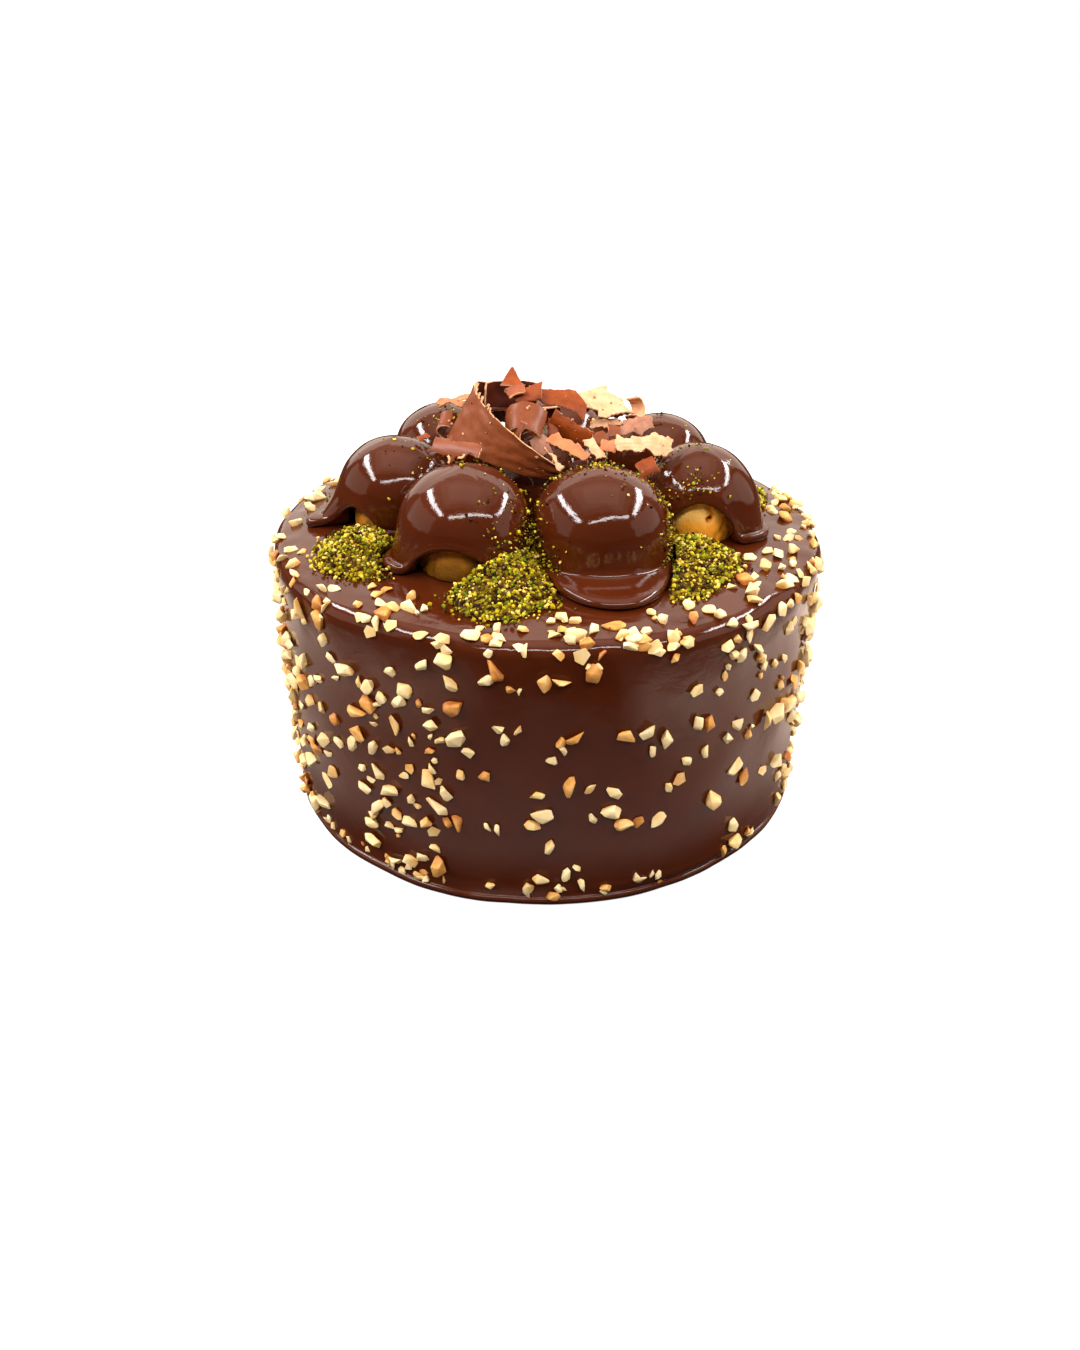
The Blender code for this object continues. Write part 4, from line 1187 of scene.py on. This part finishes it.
def sprinkled_grains():
    """The grains that fell on the puffs, and strays on the cake's top, mostly near the heaps."""
    rng = random.Random(SPRINKLE_SEED)
    by_name = {puff.name: puff for puff in PUFFS}
    spots = []
    for name, azimuth, spread, share, width, count in SPRINKLES:
        puff = by_name[name]
        end = 0.62 if puff.window is None else 0.40
        for _ in range(count):
            at = min(max(rng.gauss(share, width), 0.01), 1.02) * end
            point, normal = coat_surface(puff, rng.gauss(azimuth, spread), at)
            size = grain_size(rng) * SPRINKLED_SIZE
            point += normal * size * rng.choice(GRAIN_LAYERS)
            spots.append((point, size, grain_tint(rng) - rng.uniform(0.0, 0.2)))
    for _ in range(STRAY_DRAWS):
        azimuth, radius = rng.uniform(-180, 180), rng.uniform(0.045, 0.084)
        point = at_azimuth(azimuth, radius, CAKE_HEIGHT)
        nearest = min(math.hypot(point.x - h.x, point.y - h.y) for h in HEAPS)
        if inside_puff(point.x, point.y, 0.0) or rng.random() > math.exp(-nearest / STRAY_SPREAD) * 3:
            continue
        size = grain_size(rng) * STRAY_SIZE
        spots.append((point + Vector((0, 0, size * 0.3)), size, grain_tint(rng)))
    return spots


# --- Curls ---


def curl_point(curl, along, across, rise=0.0):
    """A point of the curl's strip; along it and across it each run from -0.5 to 0.5."""
    axis = direction(*curl.axis)
    facing = direction(*curl.facing)
    facing = (facing - axis * facing.dot(axis)).normalized()
    side = axis.cross(facing)
    angle = math.radians(curl.wrap * along)
    radius = curl.radius * (1 + curl.flare * across) * (1 + curl.coil * along)
    width = curl.width * (1 - curl.taper * (along + 0.5))
    return (
        Vector(curl.place)
        + facing * ((radius + rise) * math.cos(angle) - curl.radius)
        + side * ((radius + rise) * math.sin(angle))
        + axis * (width * across + curl.skew * along)
    )


def ragged(seed, position):
    """How far a broken edge stands out, from about -1 to 1, at a position in metres along it: it
    runs straight from corner to corner, the larger breaks broken up again by smaller ones."""
    out = 0.0
    for cell, size in BREAKS:
        first = math.floor(position / cell)
        ends = [noise.cell(Vector((first + k + 0.5, seed * 3 + 0.5, cell * 9000))) - 0.5 for k in (0, 1)]
        out += size * (ends[0] + (ends[1] - ends[0]) * (position / cell - first))
    return out


def tooth(along):
    """How far a thin tooth stands out there of the edge of the toothed curl, in metres."""
    if not TEETH_FROM < along < TEETH_TO:
        return 0.0
    place = (along - TEETH_FROM) / TOOTH_STEP
    first = math.floor(place)
    shift, size = (noise.cell(Vector((first + 0.5, row, 0.5))) for row in (3.5, 9.5))
    off = abs(place - first - 0.5 - 0.5 * (shift - 0.5)) / 0.30
    return TOOTH_LENGTH * min(1.0, 1.7 * max(0.0, 1 - off)) * (0.6 + 0.8 * size)


def build_curl(curl, index, outer, inner, *tear):
    """A strip of chocolate rolled about its axis, torn at its edges."""
    ends, sides, crinkle = (size * 1e-5 for size in tear)
    length, width = curl.radius * math.radians(curl.wrap), curl.width
    steps, rows = (min(max(round(size / CURL_CELL), 14), 190) for size in (length, width))
    bm = bmesh.new()
    strip = bm.verts.layers.float_vector.new("strip")
    bmesh.ops.create_grid(bm, x_segments=steps, y_segments=rows, size=0.5)
    for vertex in bm.verts:
        along, across = vertex.co.x, vertex.co.y
        seed = index * 4 + (1 if along > 0 else 0)
        along += along * 2 * ends * ragged(seed, vertex.co.y * width) / length
        seed = index * 4 + (3 if across > 0 else 2)
        across += across * 2 * sides * ragged(seed, vertex.co.x * length) / width
        if curl.name == TOOTHED_CURL and across > 0.4:
            across += tooth(vertex.co.x) * (across - 0.4) * 10 / width
        spot = Vector((along * length * 1000, across * width * 1000, index * 5.0))
        wrinkle = noise.noise(Vector((spot.x * 1.3, spot.y * 0.4, spot.z)))
        bend = noise.noise(spot * 0.18) * 0.0004
        vertex[strip] = spot / 1000
        vertex.co = curl_point(curl, along, across, bend + crinkle * wrinkle)
    if curl.name == TOOTHED_CURL:
        for face in bm.faces:
            if min(vertex[strip].y for vertex in face.verts) > 0.5 * width + 0.0004:
                face.material_index = 2
    finishes = [CURL_FINISHES[key] for key in (outer, inner, "edge")]
    nodes = [f"curl_{curl.name}"] if curl in CURLS else []
    piece = add_piece(f"torn_{curl.name}", bm, finishes, "curl", *nodes)
    solid = piece.modifiers.new("thickness", "SOLIDIFY")
    solid.thickness = CURL_THICKNESS
    solid.offset = 0
    solid.material_offset, solid.material_offset_rim = 1, 2
    return piece


def crumbs():
    """Crumbs that broke off the curls: most lie on the curls, the rest on the puffs near them."""
    rng = random.Random(CRUMB_SEED)
    spots = []
    while len(spots) < CURL_CRUMBS:
        curl = rng.choice(CURLS)
        if curl.width * curl.wrap < rng.random() * 2.5:
            continue
        point = curl_point(curl, rng.uniform(-0.48, 0.48), rng.uniform(-0.45, 0.45), 0.0006)
        spots.append((point, rng.uniform(0.0004, 0.0011), rng.random()))
    for name in CRUMBED_PUFFS:
        puff = next(puff for puff in PUFFS if puff.name == name)
        inward = math.degrees(math.atan2(-puff.y, -puff.x))
        for _ in range(PUFF_CRUMBS):
            share = min(abs(rng.gauss(0.16, 0.12)), 0.36)
            point, normal = coat_surface(puff, rng.gauss(inward, 60), share)
            size = rng.uniform(0.0004, 0.0010)
            spots.append((point + normal * size * 0.2, size, rng.random()))
    return spots


# --- Stage, light and camera ---

CAKE_TOP = (0.0, 0.0, 0.11)
WARM = (1.0, 0.86, 0.73)
# Softboxes over the cake, the larger ones higher: (length, width, radiance)
OVERHEADS = ((0.80, 0.70, 0.50), (1.25, 1.05, 0.54), (1.80, 1.50, 0.56))
# Softboxes round it: (name, x, y, z, length, width, radiance)
WALLS = (
    ("left_wall", -1.25, -0.10, 0.45, 1.50, 0.80, 1.0),
    ("right_wall", 1.25, -0.10, 0.45, 1.50, 0.80, 1.1),
    ("back_upper", 0.0, 1.30, 1.50, 3.20, 0.55, 0.45),
    ("back_wall", 0.0, 1.35, 0.75, 3.20, 1.20, 1.7),
)


def add_softbox(name, place, target, length, width, radiance, colour=(1.0, 1.0, 1.0)):
    """A rectangle of light, its brightness given as radiance."""
    lamp = bpy.data.lights.new(name, "AREA")
    lamp.color = colour
    lamp.shape = "RECTANGLE"
    lamp.size, lamp.size_y = length, width
    lamp.energy = radiance * math.pi * length * width
    made = bpy.data.objects.new(name, lamp)
    made.visible_camera = False
    bpy.context.scene.collection.objects.link(made)
    made.location = place
    aim = Vector(target) - Vector(place)
    made.rotation_euler = aim.to_track_quat("-Z", "Y").to_euler()
    return made


def add_strip(name, start, end, width, radiance):
    """A narrow softbox from start to end, facing the cake."""
    start, end = Vector(start), Vector(end)
    middle = (start + end) / 2
    made = add_softbox(name, middle, CAKE_TOP, (end - start).length, width, radiance)
    facing = (middle - Vector(CAKE_TOP)).normalized()
    along = (end - start).normalized()
    facing = (facing - along * facing.dot(along)).normalized()
    made.rotation_euler = Matrix((along, facing.cross(along), facing)).transposed().to_euler()
    return made


# The table's brightness to what it lights and mirrors, before the cake and at its sides, by the
# distance from the middle as a share of RINGS_REACH
RINGS_REACH = 0.30
FRONT_SHADES = ((0.33, 0.04), (0.38, 0.32), (0.52, 0.19), (0.64, 0.13), (0.70, 0.02))
SIDE_SHADES = ((0.33, 0.40), (0.40, 0.50), (0.47, 0.30), (0.56, 0.38), (0.66, 0.60), (0.80, 0.06))
SIDE_TINT = (1.0, 0.82, 0.72)
LEFT_BOOST, RIGHT_BOOST = 1.05, 1.60
FLOOR_WHITE, NEAR_GLOW = 0.55, 0.56
# The camera: millimetres, degrees, metres, metres and radians
LENS_LENGTH, CAMERA_ELEVATION, CAMERA_DISTANCE = 28.334, 30.233, 0.38835
CAMERA_TARGET, CAMERA_ROLL = (-0.00174, 0, 0.02808), 0.007865


def build_stage():
    """A pale table: white as seen, and dimmer for the light that it throws back."""
    bm = bmesh.new()
    bmesh.ops.create_grid(bm, x_segments=1, y_segments=1, size=12.0)
    mesh = bpy.data.meshes.new("table")
    bm.to_mesh(mesh)
    bm.free()
    pale = start_finish("pale_table")
    seen = pale.add("LightPath", "Is Camera Ray")
    across = pale.add("SeparateXYZ", "X", {"Vector": pale.place()})
    out = pale.add("VectorMath", "Value", {0: pale.place()}, operation="LENGTH")
    rings = pale.scaled(out, 0.0, 1.0, 0.0, RINGS_REACH)
    front, left, right = (
        pale.ramp(rings, *((at, tuple(shade * boost * part for part in tint)) for at, shade in shades))
        for shades, boost, tint in (
            (FRONT_SHADES, 1.0, (1.0, 1.0, 1.0)),
            (SIDE_SHADES, LEFT_BOOST, SIDE_TINT),
            (SIDE_SHADES, RIGHT_BOOST, SIDE_TINT),
        )
    )
    sides = pale.mix(pale.scaled(across, 0.0, 1.0, -0.02, 0.02), left, right)
    beside = pale.scaled(pale.maths("ABSOLUTE", across), 0.0, 1.0, 0.07, 0.13)
    white = pale.add("RGB", "Color")
    white.default_value = (FLOOR_WHITE, FLOOR_WHITE, FLOOR_WHITE, 1)
    glow = pale.maths("MULTIPLY", seen, pale.scaled(out, NEAR_GLOW, 1.0, 0.20, 0.60))
    finish = pale.finished(
        {
            "Base Color": pale.mix(seen, pale.mix(beside, front, sides), white),
            "Emission Color": (1, 1, 1, 1),
            "Emission Strength": glow,
            "Roughness": 0.9,
            "Specular IOR Level": 0.0,
        }
    )
    mesh.materials.append(finish)
    table = bpy.data.objects.new("table", mesh)
    bpy.context.scene.collection.objects.link(table)
    table.location = (0, 0, -0.0004)


def build_world():
    """A white backdrop that throws a dim, warm light."""
    studio = Finish(bpy.data.worlds.new("studio"), "Background")
    seen = studio.add("LightPath", "Is Camera Ray")
    colour = studio.ramp(seen, (0.0, (0.14, 0.122, 0.105)), (1.0, (1.0, 1.0, 1.0)))
    bpy.context.scene.world = studio.finished({"Color": colour, "Strength": 1.0})


def build_camera():
    """The camera, a little above the cake and in front of it."""
    lens = bpy.data.cameras.new("camera")
    lens.sensor_width = 36
    lens.lens = LENS_LENGTH
    lens.clip_start = 0.01
    made = bpy.data.objects.new("camera", lens)
    bpy.context.scene.collection.objects.link(made)
    elevation = math.radians(CAMERA_ELEVATION)
    back = Vector((0, -math.cos(elevation), math.sin(elevation)))
    made.location = Vector(CAMERA_TARGET) + back * CAMERA_DISTANCE
    turn = back.to_track_quat("Z", "Y").to_matrix() @ Matrix.Rotation(CAMERA_ROLL, 3, "Z")
    made.rotation_euler = turn.to_euler()
    bpy.context.scene.camera = made


build_camera()
build_world()
build_stage()
add_strip("left_strip", (-0.41, -0.42, 0.50), (-0.42, 0.26, 0.50), 0.065, 30)
add_strip("right_strip", (0.50, -0.20, 0.50), (0.43, 0.36, 0.50), 0.060, 30)
add_strip("front_strip", (-0.26, -0.50, 0.50), (0.42, -0.29, 0.50), 0.046, 23)
for each, (length, width, radiance) in enumerate(OVERHEADS):
    place = (0.0, 0.05, 1.15 + 0.02 * each)
    add_softbox(f"overhead_{each}", place, CAKE_TOP, length, width, radiance, WARM)
for name, *place, length, width, radiance in WALLS:
    add_softbox(name, place, CAKE_TOP, length, width, radiance, WARM)
bpy.context.scene.view_settings.view_transform = "Standard"

build_glazed_cake()
build_nuts()
for each in PUFFS:
    build_coat(each)
    if each.window is not None:
        build_bun(each)
for each in HEAPS:
    build_heap_core(each)
for each_index, each in enumerate(CURLS):
    build_curl(each, each_index, *CURL_LOOKS[each.name])
for each_index, (letter, finish, *rest) in enumerate(SHAVINGS, 40):
    # The shavings' inner sides take the dark finish: painted shade.
    build_curl(Curl(f"shaving_{letter}", *rest), each_index, finish, "dark", *SHAVING_TEAR)
scatter("pistachio_heaped", heap_grains(), PISTACHIO, "pistachio", "grain", 3)
scatter("curl_crumbs", crumbs(), crumb_finish(), "curl", "crumb", 6)
scatter("pistachio_sprinkled", sprinkled_grains(), PISTACHIO, "pistachio", "grain", 4)
